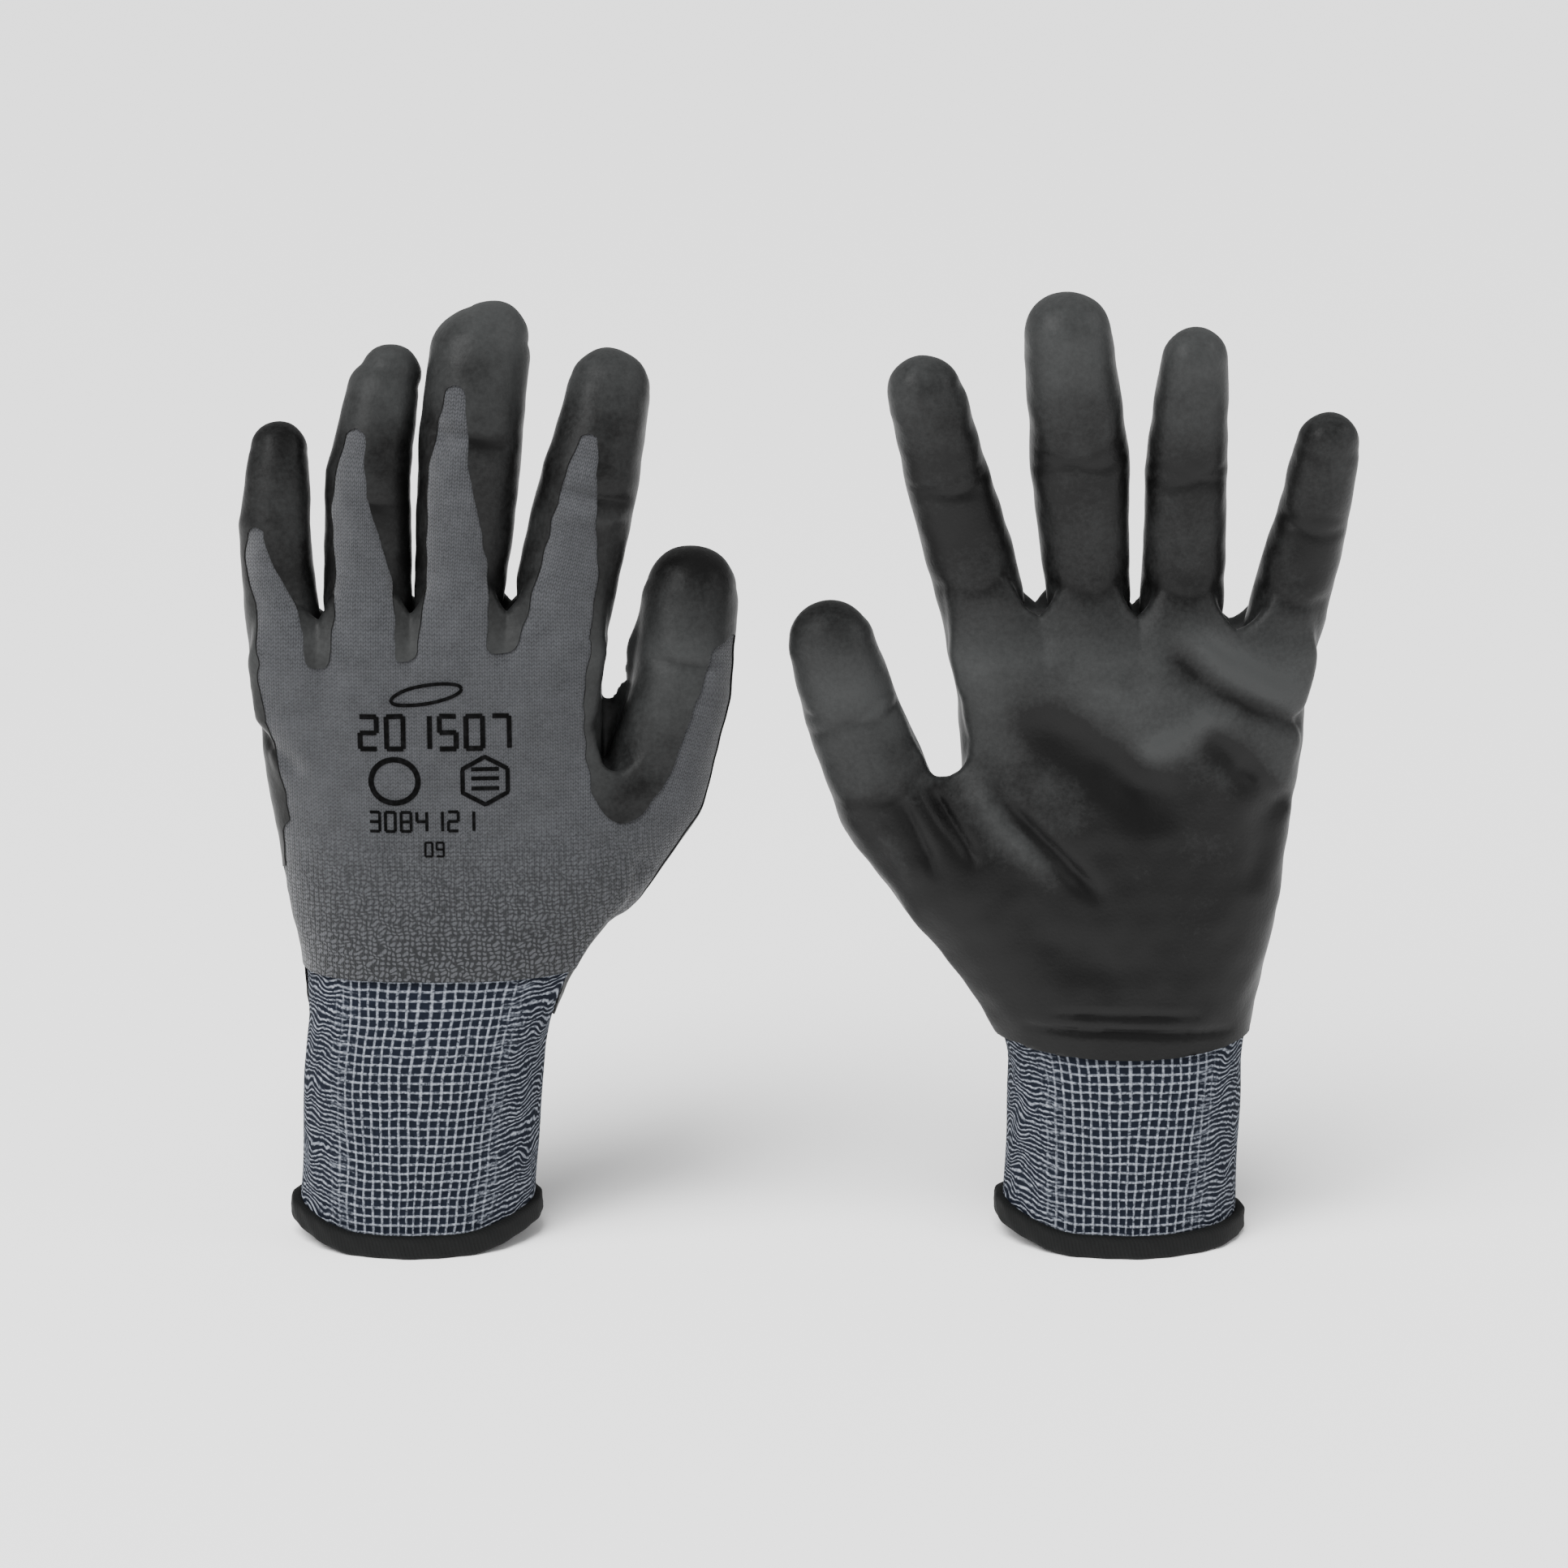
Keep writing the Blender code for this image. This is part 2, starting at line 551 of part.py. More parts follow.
    def bare_outline(self):
        """Outline of the uncoated back: between the side strips and up each finger's back."""
        low = 0.030 * SZ
        edge = [(row[0] * 0.001 * SZ, row[1] * 0.001 * SX, row[2] * 0.001 * SX) for row in self.p.palm]
        points = [(edge[0][1] - 0.004, low), (edge[0][2] + 0.004, low)]
        points += [(edge[2][2] + 0.010 * SX, edge[2][0]), (edge[4][2] - 0.006 * SX, edge[4][0] + 0.004 * SZ)]
        for name in ("index", "middle", "ring", "little"):
            chain = self.chains[name]
            lateral, _, along = chain.frames[0]
            half = chain.half[0] * BARE_SHARE
            top = chain.p0 + along * 0.012
            foot = chain.p0 - along * (0.012 * SZ)
            points += [((foot + lateral * half).x, (foot + lateral * half).z),
                       ((top + lateral * half).x, (top + lateral * half).z),
                       ((top - lateral * half).x, (top - lateral * half).z),
                       ((foot - lateral * half).x, (foot - lateral * half).z)]
        points += [(edge[4][1] + 0.005 * SX, edge[4][0]), (edge[2][1] - 0.002 * SX, edge[2][0] + 0.004 * SZ)]
        return points

    def thumb_outline(self):
        """Outline of the uncoated outer half of the thumb's back."""
        chain = self.chains["thumb"]
        lateral, _, along = chain.frames[0]
        half = chain.half[0]
        top, foot = chain.p0 + along * 0.012, chain.p0 - along * (0.034 * SZ)
        low = [(foot - lateral * half * 0.2), (foot + lateral * half * 1.4),
               (top + lateral * half * 0.62), (top - lateral * half * 0.30)]
        return [(p.x, p.z) for p in low]

    def digit(self, name):
        """Liner and coating of one digit's base and tip."""
        chain = self.chains[name]
        outer = COATING_OUT
        base = self.add(f"{name}_base_liner", chain.base_rings(outer), "liner", LINER_WALL, chain.h0)
        tip = self.add(f"{name}_tip_liner", chain.tip_rings(outer), "liner", LINER_WALL, chain.h1)
        rows = []
        for points in chain.base_rings(0.0):
            start = FINGER_SIDES * 10 // 12
            order = [points[(start + k) % FINGER_SIDES] for k in range(FINGER_SIDES * 10 // 12 + 1)]
            rows.append(order)
        cover = strip_object(f"{self.p.name}_{name}_base_coating", rows, self.mats["coating"], self.parts, chain.h0)
        shell(cover, COATING_WALL)
        self.made.append(cover)
        cap = self.add(f"{name}_tip_coating", chain.tip_rings(0.0), "coating", COATING_WALL, chain.h1)
        arch = self.arch(name, chain)
        boolean(cap, arch, "DIFFERENCE")

    def arch(self, name, chain):
        """Tool for the pointed bare arch on a fingertip's back."""
        lateral, normal, along = chain.frames[2]
        half = chain.half[1] * BARE_SHARE
        length = chain.digit.length[1] * 0.001 * SZ
        outline = [(-half, -0.012), (half, -0.012), (half * 0.92, length * 0.18), (0.0, length * 0.46), (-half * 0.92, length * 0.18)]
        bm = bmesh.new()
        low = [bm.verts.new(chain.p1 + lateral * x + along * z - normal * 0.030) for x, z in outline]
        face = bm.faces.new(low)
        out = bmesh.ops.extrude_face_region(bm, geom=[face])
        moved = [v for v in out["geom"] if isinstance(v, bmesh.types.BMVert)]
        bmesh.ops.translate(bm, verts=moved, vec=normal * 0.0275)
        bmesh.ops.recalc_face_normals(bm, faces=bm.faces[:])
        mesh = bpy.data.meshes.new(f"{self.p.name}_{name}_arch")
        bm.to_mesh(mesh)
        bm.free()
        obj = bpy.data.objects.new(f"{self.p.name}_{name}_arch", mesh)
        self.tools.objects.link(obj)
        self.made.append(obj)
        return as_cutter(obj)

    def build(self):
        self.hem()
        self.cuff()
        self.elastic()
        self.hand()
        for name in self.chains:
            self.digit(name)
        root = bpy.data.objects.new(f"{self.p.name}_root", None)
        self.parts.objects.link(root)
        root.rotation_euler = (0, 0, math.radians(self.p.turn))
        root.location = (self.p.offset * PAIR_SPACING * 0.5, 0, 0)
        for obj in self.made:
            obj.parent = root
        return root


def centre_on_origin(roots, parts):
    """Move both roots so that the pair's box stands centred on the origin."""
    bpy.context.view_layer.update()
    graph = bpy.context.evaluated_depsgraph_get()
    low, high = Vector((1e9,) * 3), Vector((-1e9,) * 3)
    for obj in parts.objects:
        if obj.type not in {"MESH", "CURVE"}:
            continue
        done = obj.evaluated_get(graph)
        mesh = done.to_mesh()
        for vert in mesh.vertices:
            p = obj.matrix_world @ vert.co
            low = Vector(map(min, low, p))
            high = Vector(map(max, high, p))
        done.to_mesh_clear()
    shift = Vector((-(low.x + high.x) / 2, -(low.y + high.y) / 2, -low.z))
    for root in roots:
        root.location += shift


def main():
    """Build the pair."""
    clear_scene()
    scene = bpy.context.scene
    parts = bpy.data.collections.new("parts")
    tools = bpy.data.collections.new("tools")
    scene.collection.children.link(parts)
    scene.collection.children.link(tools)
    mats = {
        "liner": material("liner_knit", (0.105, 0.108, 0.118), 0.9),
        "cuff": material("cuff_rib_knit", (0.085, 0.092, 0.115), 0.9),
        "coating": material("foam_nitrile", (0.040, 0.041, 0.042), 0.55),
        "hem": material("hem_overlock", (0.008, 0.008, 0.009), 0.85),
        "elastic": material("elastic_yarn", (0.55, 0.55, 0.56), 0.6),
    }
    roots = [Glove(pattern, mats, parts, tools).build() for pattern in GLOVES]
    centre_on_origin(roots, parts)


main()
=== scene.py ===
"""Studio scene of a pair of dipped knit work gloves standing on their cuff hems."""

import logging
import math
from collections.abc import Callable
from dataclasses import dataclass, field
from enum import Enum

import bmesh
import bpy
import numpy as np
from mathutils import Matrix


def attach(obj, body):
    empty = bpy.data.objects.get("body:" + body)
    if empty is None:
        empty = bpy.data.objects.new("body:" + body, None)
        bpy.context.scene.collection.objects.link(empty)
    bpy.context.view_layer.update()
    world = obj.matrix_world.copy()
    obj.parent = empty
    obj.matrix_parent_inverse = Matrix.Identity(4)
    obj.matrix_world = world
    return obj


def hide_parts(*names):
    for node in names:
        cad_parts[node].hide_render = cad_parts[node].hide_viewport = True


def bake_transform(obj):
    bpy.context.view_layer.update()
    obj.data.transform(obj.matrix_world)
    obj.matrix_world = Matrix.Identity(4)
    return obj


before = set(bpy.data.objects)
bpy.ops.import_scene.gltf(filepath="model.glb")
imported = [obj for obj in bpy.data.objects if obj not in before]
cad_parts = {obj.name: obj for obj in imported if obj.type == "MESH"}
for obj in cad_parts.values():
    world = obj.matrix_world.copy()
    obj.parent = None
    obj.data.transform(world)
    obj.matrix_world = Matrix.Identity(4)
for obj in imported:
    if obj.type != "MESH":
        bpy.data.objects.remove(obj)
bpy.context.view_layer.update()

import openvdb
from mathutils import Vector

LOG = logging.getLogger("gloves")
MM = 0.001


class Layer(Enum):
    """The two layers of a glove's skin: endings of the piece's and the CAD node's names, material slot."""

    KNIT = ("knit", "liner", "liner_knit")
    COATING = ("dip", "coating", "nitrile_coating")


def linear(hex_colour: str) -> tuple[float, float, float, float]:
    """Turn an sRGB hex colour to linear.

    Args:
        hex_colour: Six hex digits after a hash.

    Returns:
        Linear red, green, blue and alpha.
    """
    parts = [int(hex_colour[i:i + 2], 16) / 255.0 for i in (1, 3, 5)]
    out = [p / 12.92 if p <= 0.04045 else ((p + 0.055) / 1.055) ** 2.4 for p in parts]
    return (out[0], out[1], out[2], 1.0)


@dataclass(frozen=True)
class Value:
    """A shader value that sums like a number, so that a pattern reads as a formula."""

    socket: bpy.types.NodeSocket

    def math(self, operation: str, *others: "Value | float") -> "Value":
        """Work out a Math node's operation with this value first.

        Args:
            operation: Math operation name.
            others: The node's further inputs.

        Returns:
            The result.
        """
        links = {i: v for i, v in enumerate(others, 1) if isinstance(v, Value)}
        numbers = {i: v for i, v in enumerate(others, 1) if i not in links}
        return self.through("ShaderNodeMath", {"operation": operation, **numbers}, links)

    def through(self, kind: str, settings: dict, links: dict | None = None) -> "Value":
        """Pass this value through one node of the given kind."""
        return Value(add_node(self.socket.id_data, kind, settings, {0: self, **(links or {})}).outputs[0])

    def wave(self) -> "Value":
        """Height of a row of half-round ridges, one for each pi."""
        return abs(self.math("SINE"))

    def __add__(self, other: "Value | float") -> "Value":
        """Sum."""
        return self.math("ADD", other)

    def __sub__(self, other: "Value | float") -> "Value":
        """Difference."""
        return self.math("SUBTRACT", other)

    def __mul__(self, other: "Value | float") -> "Value":
        """Product."""
        return self.math("MULTIPLY", other)

    def __truediv__(self, other: "Value | float") -> "Value":
        """Quotient."""
        return self.math("DIVIDE", other)

    def __pow__(self, other: "Value | float") -> "Value":
        """Power."""
        return self.math("POWER", other)

    def __abs__(self) -> "Value":
        """Absolute value."""
        return self.math("ABSOLUTE")


def add_node(tree: bpy.types.NodeTree, kind: str, settings: dict | None = None,
             links: dict | None = None) -> bpy.types.Node:
    """Add one node, set it and link its inputs.

    Args:
        tree: Node tree that takes the node.
        kind: Blender's node type name.
        settings: Attributes by name, or input values by index or socket name.
        links: Values by the index or name of the input they feed.

    Returns:
        The new node.
    """
    node = tree.nodes.new(kind)
    for key, value in (settings or {}).items():
        if isinstance(key, str) and hasattr(node, key):
            setattr(node, key, value)
        else:
            node.inputs[key].default_value = value
    for key, value in (links or {}).items():
        tree.links.new(value.socket, node.inputs[key])
    return node


def limits(low: float, high: float, start: float = 0.0, end: float = 1.0, eased: bool = True) -> dict:
    """Settings that map low and high to start and end, eased or straight."""
    return {"interpolation_type": "SMOOTHSTEP" if eased else "LINEAR", 1: low, 2: high, 3: start, 4: end}


RANGE, NOISE = "ShaderNodeMapRange", "ShaderNodeTexNoise"


class Wiring:
    """One material with the patterns that feed its shader."""

    def __init__(self, name: str, uniform: dict) -> None:
        """Start the material.

        Args:
            name: Material name.
            uniform: Values that don't vary, by shader socket.
        """
        self.material = bpy.data.materials.new(name)
        self.material.use_nodes = True
        self.tree = self.material.node_tree
        self.shader = self.tree.nodes["Principled BSDF"]
        for socket, value in uniform.items():
            self.shader.inputs[socket].default_value = value

    def add(self, kind: str, settings: dict, links: dict | None = None, out: int | str = 0) -> Value:
        """Add one node and take one of its outputs."""
        return Value(add_node(self.tree, kind, settings, links).outputs[out])

    def uv(self, name: str) -> tuple[Value, Value, Value]:
        """Read a UV layer.

        Args:
            name: Layer name.

        Returns:
            Its coordinates whole, and their two parts.
        """
        whole = self.add("ShaderNodeUVMap", {"uv_map": name})
        parts = add_node(self.tree, "ShaderNodeSeparateXYZ", links={0: whole}).outputs
        return whole, Value(parts[0]), Value(parts[1])

    def place(self) -> Value:
        """Coordinates of the piece itself in metres."""
        return self.add("ShaderNodeTexCoord", {}, out="Object")

    def feed(self, socket: str, value: Value) -> None:
        """Link a value to one of the shader's sockets."""
        self.tree.links.new(value.socket, self.shader.inputs[socket])

    def colour(self, tone: Value, dark: str, light: str, low: float = 0.0, high: float = 1.0) -> None:
        """Colour the shader by a tone.

        Args:
            tone: The tone pattern.
            dark: Colour at low and below.
            light: Colour at high and above.
            low: Lower end of the tone.
            high: Upper end of the tone.
        """
        ramp = add_node(self.tree, "ShaderNodeValToRGB", links={0: tone})
        for stop, place, colour in zip(ramp.color_ramp.elements, (low, high), (dark, light)):
            stop.position, stop.color = place, linear(colour)
        self.feed("Base Color", Value(ramp.outputs[0]))

    def relief(self, height: Value, strength: float, distance: float) -> None:
        """Raise the surface by a height pattern of the given distance in metres."""
        settings = {"Strength": strength, "Distance": distance}
        self.feed("Normal", self.add("ShaderNodeBump", settings, {"Height": height}))


@dataclass(frozen=True)
class LinerKnit:
    """Seamless 15 gauge nylon knit: matt, heathered, with fine chevron stitches."""

    dark: str = "#1c1d1f"
    light: str = "#424346"
    wale: float = 1.25   # mm between stitch columns; real about 1.1, drawn a little coarser to show
    course: float = 0.95  # mm between rows
    purl: tuple[float, float] = (1.55, 1.3)   # mm between the loose stitches near the cuff

    def build(self) -> bpy.types.Material:
        """Make the material.

        Returns:
            The knit material.
        """
        wiring = Wiring("seamless_nylon_knit", {
            "Roughness": 0.92, "Sheen Weight": 0.18, "Sheen Roughness": 0.5, "Specular IOR Level": 0.25})
        uv, across, up = wiring.uv("pattern")
        column = (across / self.wale).math("FRACT")
        row = up / self.course + abs(column - 0.5) * 1.3
        stitch = (row * math.pi).wave() ** 0.6 * (column * (2 * math.pi)).wave() ** 0.5
        fibre = wiring.add(NOISE, {"Scale": 0.9, "Detail": 4.0, "Roughness": 0.75}, {"Vector": uv})
        heather = wiring.add(NOISE, {"Scale": 0.16, "Detail": 3.0}, {"Vector": uv})
        sway = wiring.add(NOISE, {"Scale": 0.35, "Detail": 1.0}, {"Vector": uv}) * 7.0
        low = up.through(RANGE, limits(126.0, 76.0))
        edge = up.through(RANGE, limits(90.0, 76.0, 0.04, 1.3))
        dots = [(axis * (math.pi / pitch) + sway).wave() for axis, pitch in zip((across, up), self.purl)]
        fleck = (dots[0] * dots[1] - 0.45) * (low + edge)
        tone = stitch * 0.42 + fibre * 0.62 + fleck - low * 0.10 + (heather - 0.5) * 0.35
        wiring.colour(tone, self.dark, self.light, 0.22, 0.86)
        wiring.relief(stitch + fibre * 0.35, 0.75, 0.00022)
        return wiring.material


@dataclass(frozen=True)
class FoamNitrile:
    """Dipped foamed nitrile: charcoal, matt to satin, finely pored with cloudy tone, with painted light from
    above and painted shade in its creases.
    """

    dark: str = "#070707"
    light: str = "#2e2f2f"
    pore: float = 0.55   # mm between pores; real about 0.3, drawn coarser to show
    top: float = 260.0   # mm up, the height that the levels are shares of
    levels: tuple[tuple[float, float], ...] = (   # mm up, paleness of the painted light from above
        (62, 0.0), (100, 0.06), (128, 0.55), (158, 0.92), (178, 0.30), (212, 0.36), (240, 0.95))

    def build(self) -> bpy.types.Material:
        """Make the material.

        Returns:
            The coating material.
        """
        wiring = Wiring("foamed_nitrile_dip", {"Specular IOR Level": 0.2})
        place = {"Vector": wiring.place()}
        cloud = wiring.add(NOISE, {"Scale": 38.0, "Detail": 5.0, "Roughness": 0.6}, place)
        fine = 1.0 / (self.pore * MM)
        grain = wiring.add(NOISE, {"Scale": fine / 2.2, "Detail": 3.0, "Roughness": 0.7}, place)
        pores = wiring.add("ShaderNodeTexVoronoi", {"Scale": fine / 1.6}, place)
        # Painted light from above: the coating is painted darker low on the palm and paler at the palm's top
        # and at the fingertips.
        height_share = wiring.uv("pattern")[2] / self.top + (cloud - 0.5) * 0.10
        painted_top_light = add_node(wiring.tree, "ShaderNodeValToRGB", links={0: height_share})
        stops = painted_top_light.color_ramp.elements
        for level, value in self.levels:
            stops.new(level / self.top).color = (value, value, value, 1.0)
        for end in (0, -1):
            stops.remove(stops[end])
        # Painted shade in the creases and painted highlight on the ridges: the coating's tone darkens with
        # crease depth and pales where the skin stands proud.
        wear_and_painted_shade = wiring.uv("pool")[1].through(RANGE, limits(-1.8, 2.6, 0.295, -0.425, eased=False))
        tone = cloud * 0.75 + grain * 0.35 + (Value(painted_top_light.outputs[0]) - 0.6) * 0.62 + wear_and_painted_shade
        wiring.colour(tone, self.dark, self.light, 0.34, 0.86)
        wiring.relief(grain + pores * 0.4, 0.45, 0.00016)
        wiring.feed("Roughness", cloud.through(RANGE, limits(0.3, 0.7, 0.40, 0.54, eased=False)))
        return wiring.material


@dataclass(frozen=True)
class RibKnit:
    """Cuff knit of pale covered yarn laid in a grid over navy yarn, with furry speckle."""

    navy: str = "#0a0d13"
    navy_light: str = "#1a1e28"
    pale: str = "#959aa4"
    thread: float = 0.185   # half width of a thread, as a share of the pitch
    float_row: tuple[float, float] = (1.7, 0.28)   # rows for each pitch at the sides, and their half width

    def build(self) -> bpy.types.Material:
        """Make the material.

        Returns:
            The cuff material.
        """
        wiring = Wiring("two_yarn_cuff_knit", {"Roughness": 0.9, "Specular IOR Level": 0.08})
        uv, across, up = wiring.uv("pattern")
        side = wiring.uv("place")[1]
        fray = wiring.add(NOISE, {"Scale": 2.6, "Detail": 3.0, "Roughness": 0.7}, {"Vector": uv})
        drift = (wiring.add(NOISE, {"Scale": 0.8, "Detail": 2.0}, {"Vector": uv}) - 0.5) * 1.4
        rows, width = self.float_row
        lines = ((across, self.thread), (up, self.thread), (up * rows + drift, width))
        wales, courses, floats = [abs(line.math("FRACT") - 0.5).through(RANGE, limits(half, 0.05))
                                  for line, half in lines]
        grid = wales.math("MAXIMUM", courses) * 0.52 + wales * courses * 0.75
        share = (side + drift * 0.30).through(RANGE, limits(0.46, 0.72))
        gain = fray.through(RANGE, limits(0.36, 0.66, 0.10, 1.75, eased=False))
        thread = (grid + (floats * 0.72 - grid) * share) * gain
        mixing = {"data_type": "RGBA", 6: linear(self.navy), 7: linear(self.navy_light)}
        base = wiring.add("ShaderNodeMix", mixing, {0: fray}, out=2)
        mixing = {"data_type": "RGBA", 7: linear(self.pale)}
        wiring.feed("Base Color", wiring.add("ShaderNodeMix", mixing, {0: thread, 6: base}, out=2))
        wiring.relief(thread, 0.8, 0.0003)
        return wiring.material


@dataclass(frozen=True)
class HemBinding:
    """Overlocked polyester binding: near black, soft, with close slanted stitches."""

    dark: str = "#050505"
    light: str = "#141515"
    stitch: float = 0.9  # mm between overlock threads

    def build(self) -> bpy.types.Material:
        """Make the material.

        Returns:
            The hem material.
        """
        wiring = Wiring("overlocked_polyester", {"Roughness": 0.8, "Specular IOR Level": 0.2})
        uv, around, up = wiring.uv("pattern")
        threads = ((around + up * 0.35) * (math.pi / self.stitch)).wave()
        tone = threads * 0.45 + wiring.add(NOISE, {"Scale": 1.6, "Detail": 4.0}, {"Vector": uv}) * 0.55
        wiring.colour(tone, self.dark, self.light)
        wiring.relief(tone, 0.5, 0.0002)
        return wiring.material


@dataclass(frozen=True)
class CoveredElastic:
    """Elastic core wrapped in pale nylon: slightly glossy with a wound ripple."""

    pale: str = "#b9bcc4"
    shade: str = "#83868f"

    def build(self) -> bpy.types.Material:
        """Make the material.

        Returns:
            The yarn material.
        """
        wiring = Wiring("covered_elastic_yarn", {"Roughness": 0.5})
        wound = {"Scale": 900.0, "Distortion": 1.0}
        turns = wiring.add("ShaderNodeTexWave", wound, {"Vector": wiring.place()}, out=1)
        wiring.colour(turns, self.shade, self.pale)
        return wiring.material


@dataclass(frozen=True)
class PrintInk:
    """Heat-set ink on knit: black, flat and faintly broken by the stitches under it."""

    black: str = "#020202"
    wear_and_painted_shade: str = "#0e0e0f"

    def build(self) -> bpy.types.Material:
        """Make the material.

        Returns:
            The ink material.
        """
        wiring = Wiring("heat_set_ink", {"Roughness": 0.85, "Specular IOR Level": 0.08})
        fleck = wiring.add(NOISE, {"Scale": 900.0, "Detail": 3.0}, {"Vector": wiring.place()})
        wiring.colour(fleck, self.black, self.wear_and_painted_shade, 0.45, 0.75)
        wiring.relief(fleck, 0.5, 0.0001)
        return wiring.material


@dataclass(frozen=True)
class Digit:
    """One digit's pattern, in mm and degrees, as the frame has it."""

    name: str
    gap: float
    knuckle: float
    width: tuple[float, float, float]
    lean: tuple[float, float, float]
    curl: tuple[float, float, float]
    length: tuple[float, float]
    arch: tuple[float, float]      # bare arch: where it ends along the digit, and its sideways shift
    tip: tuple[float, float] = (0.0, 0.96)   # fingertip: sideways shift, share of the half width


@dataclass(frozen=True)
class Fold:
    """A crease or ridge in the skin: ends in x and z, depth in mm (below 0 stands proud), width, side."""

    start: tuple[float, float]
    end: tuple[float, float]
    depth: float
    width: float
    side: float


@dataclass(frozen=True)
class GlovePattern:
    """One glove's pattern."""

    name: str
    place: float
    turn: float
    top_middle: float
    palm: tuple[tuple[float, float, float, float, float], ...]
    digits: tuple[Digit, ...]
    thumb: Digit
    thumb_root: tuple[float, float, float]
    thumb_hinge: tuple[float, float, float]
    hem_rise: tuple[float, float]
    folds: tuple[Fold, ...]
    seed: int


GLOVES = (
    GlovePattern(
        "glove1", -0.100425, 0.0, 7.4,
        ((50, -29.4, 35.4, 21.5, 21.5), (62, -27.6, 38.0, 21.0, 21.0), (76, -27.9, 41.5, 19.5, 20.0),
         (92, -31.0, 45.5, 17.5, 19.0), (110, -33.4, 49.0, 16.5, 17.5), (130, -36.0, 50.0, 15.5, 16.0),
         (150, -37.0, 50.0, 14.2, 14.8), (160, -38.4, 52.0, 12.0, 12.5), (165, -36.0, 49.5, 8.5, 9.0)),
        (Digit("little", 0.0, 167.5, (18.6, 16.8, 14.4), (-3.0, -3.9, 4.5), (2, 5, 13), (23.0, 26.3),
               (23.0, -4.0)),
         Digit("ring", 1.7, 172.0, (22.0, 20.6, 17.6), (1.0, 1.6, 9.0), (2, 5, 13), (31.0, 34.0),
               (42.0, -4.0), (1.4, 0.84)),
         Digit("middle", 1.2, 174.0, (22.4, 25.8, 24.2), (4.0, 5.0, 6.0), (2, 5, 13), (36.0, 37.6),
               (51.0, -4.2), (2.8, 0.72)),
         Digit("index", 3.8, 175.0, (25.0, 24.2, 20.6), (8.0, 13.0, 12.0), (2, 5, 13), (28.5, 33.0),
               (39.0, -2.2))),
        Digit("thumb", 0.0, 121.0, (26.4, 25.2, 23.6), (20.0, 17.0, 5.0), (0, 4, 12), (26.5, 37.6),
              (42.0, 8.5)),
        (27.0, 2.0, 77.0), (63.8, 3.0, 121.0), (4.8, 4.8),
        (Fold((42, 201), (60, 197), 1.6, 1.6, -1), Fold((40, 196), (58, 193), -0.9, 1.8, -1),
         Fold((8, 216), (30, 212), 1.6, 2.0, -1), Fold((4, 222), (14, 212), 1.2, 2.4, -1),
         Fold((62, 157), (86, 153), 1.4, 1.5, -1), Fold((-37, 140), (-26, 128), 1.8, 2.4, -1),
         Fold((-10, 198), (4, 196), 0.8, 1.4, -1), Fold((-2, 150), (26, 140), 0.8, 6.0, -1),
         Fold((48, 112), (64, 100), 1.5, 4.0, -1), Fold((30, 88), (44, 80), 1.3, 3.0, -1),
         Fold((33, 121), (10, 99), 2.2, 2.6, 1), Fold((22, 142), (-13, 124), 2.0, 7.0, 1)),
        3,
    ),
    GlovePattern(
        "glove2", 0.086375, 180.0, 0.2,
        ((50, -32.1, 30.8, 21.5, 21.5), (62, -33.2, 35.0, 21.0, 21.0), (76, -36.0, 40.0, 19.5, 20.0),
         (92, -39.2, 43.5, 17.5, 19.0), (110, -40.8, 43.5, 16.5, 17.5), (130, -43.8, 42.8, 15.5, 16.0),
         (150, -45.0, 44.6, 14.2, 14.8), (160, -46.6, 47.4, 12.0, 12.5), (165, -44.0, 45.0, 8.5, 9.0)),
        (Digit("little", 0.0, 169.0, (19.8, 17.6, 15.6), (-12.0, -12.7, -6.5), (2, 5, 13),
               (24.0, 29.0), (25.0, -2.0)),
         Digit("ring", 6.6, 171.0, (20.8, 20.0, 17.0), (-1.0, 0.5, -1.5), (2, 5, 13), (34.0, 38.6),
               (44.0, -2.0)),
         Digit("middle", 3.4, 172.0, (20.6, 24.0, 21.4), (4.0, 4.7, 7.7), (2, 5, 13), (38.0, 42.4),
               (52.0, -2.0)),
         Digit("index", 6.4, 173.0, (21.6, 20.8, 18.2), (12.0, 16.5, 15.0), (2, 5, 13), (31.0, 34.2),
               (41.0, -1.0))),
        Digit("thumb", 0.0, 119.0, (25.6, 24.0, 20.8), (24.0, 20.0, 17.0), (0, 4, 12), (26.0, 31.0),
              (38.0, 8.0)),
        (24.0, 2.0, 75.0), (62.6, 3.0, 119.0), (0.8, 5.0),
        (Fold((29, 147), (-10, 119), 3.4, 7.0, 1), Fold((-8, 161), (-24, 148), 2.2, 3.4, 1),
         Fold((-22, 150), (-44, 140), 2.6, 3.2, 1), Fold((-12, 167), (-40, 147), -1.6, 3.4, 1),
         Fold((-17, 142), (-30, 128), 2.6, 3.8, 1), Fold((-28, 131), (-40, 118), 2.6, 3.4, 1),
         Fold((-34, 122), (-31, 99), 1.8, 4.0, 1), Fold((0, 133), (-24, 146), -1.8, 4.5, 1),
         Fold((34, 122), (9, 98), 3.0, 2.5, 1), Fold((40, 124), (18, 102), -1.8, 4.0, 1),
         Fold((60, 123), (50, 103), 2.0, 2.0, 1), Fold((52, 124), (40, 106), 2.2, 2.2, 1),
         Fold((66, 116), (56, 100), -1.0, 2.6, 1), Fold((30, 92), (4, 76), 1.2, 6.0, 1),
         Fold((26, 63), (-26, 61), 1.1, 1.1, 1), Fold((20, 67), (-18, 66), 0.8, 1.1, 1),
         Fold((-40, 158), (-48, 150), 1.4, 2.0, -1)),
        11,
    ),
)

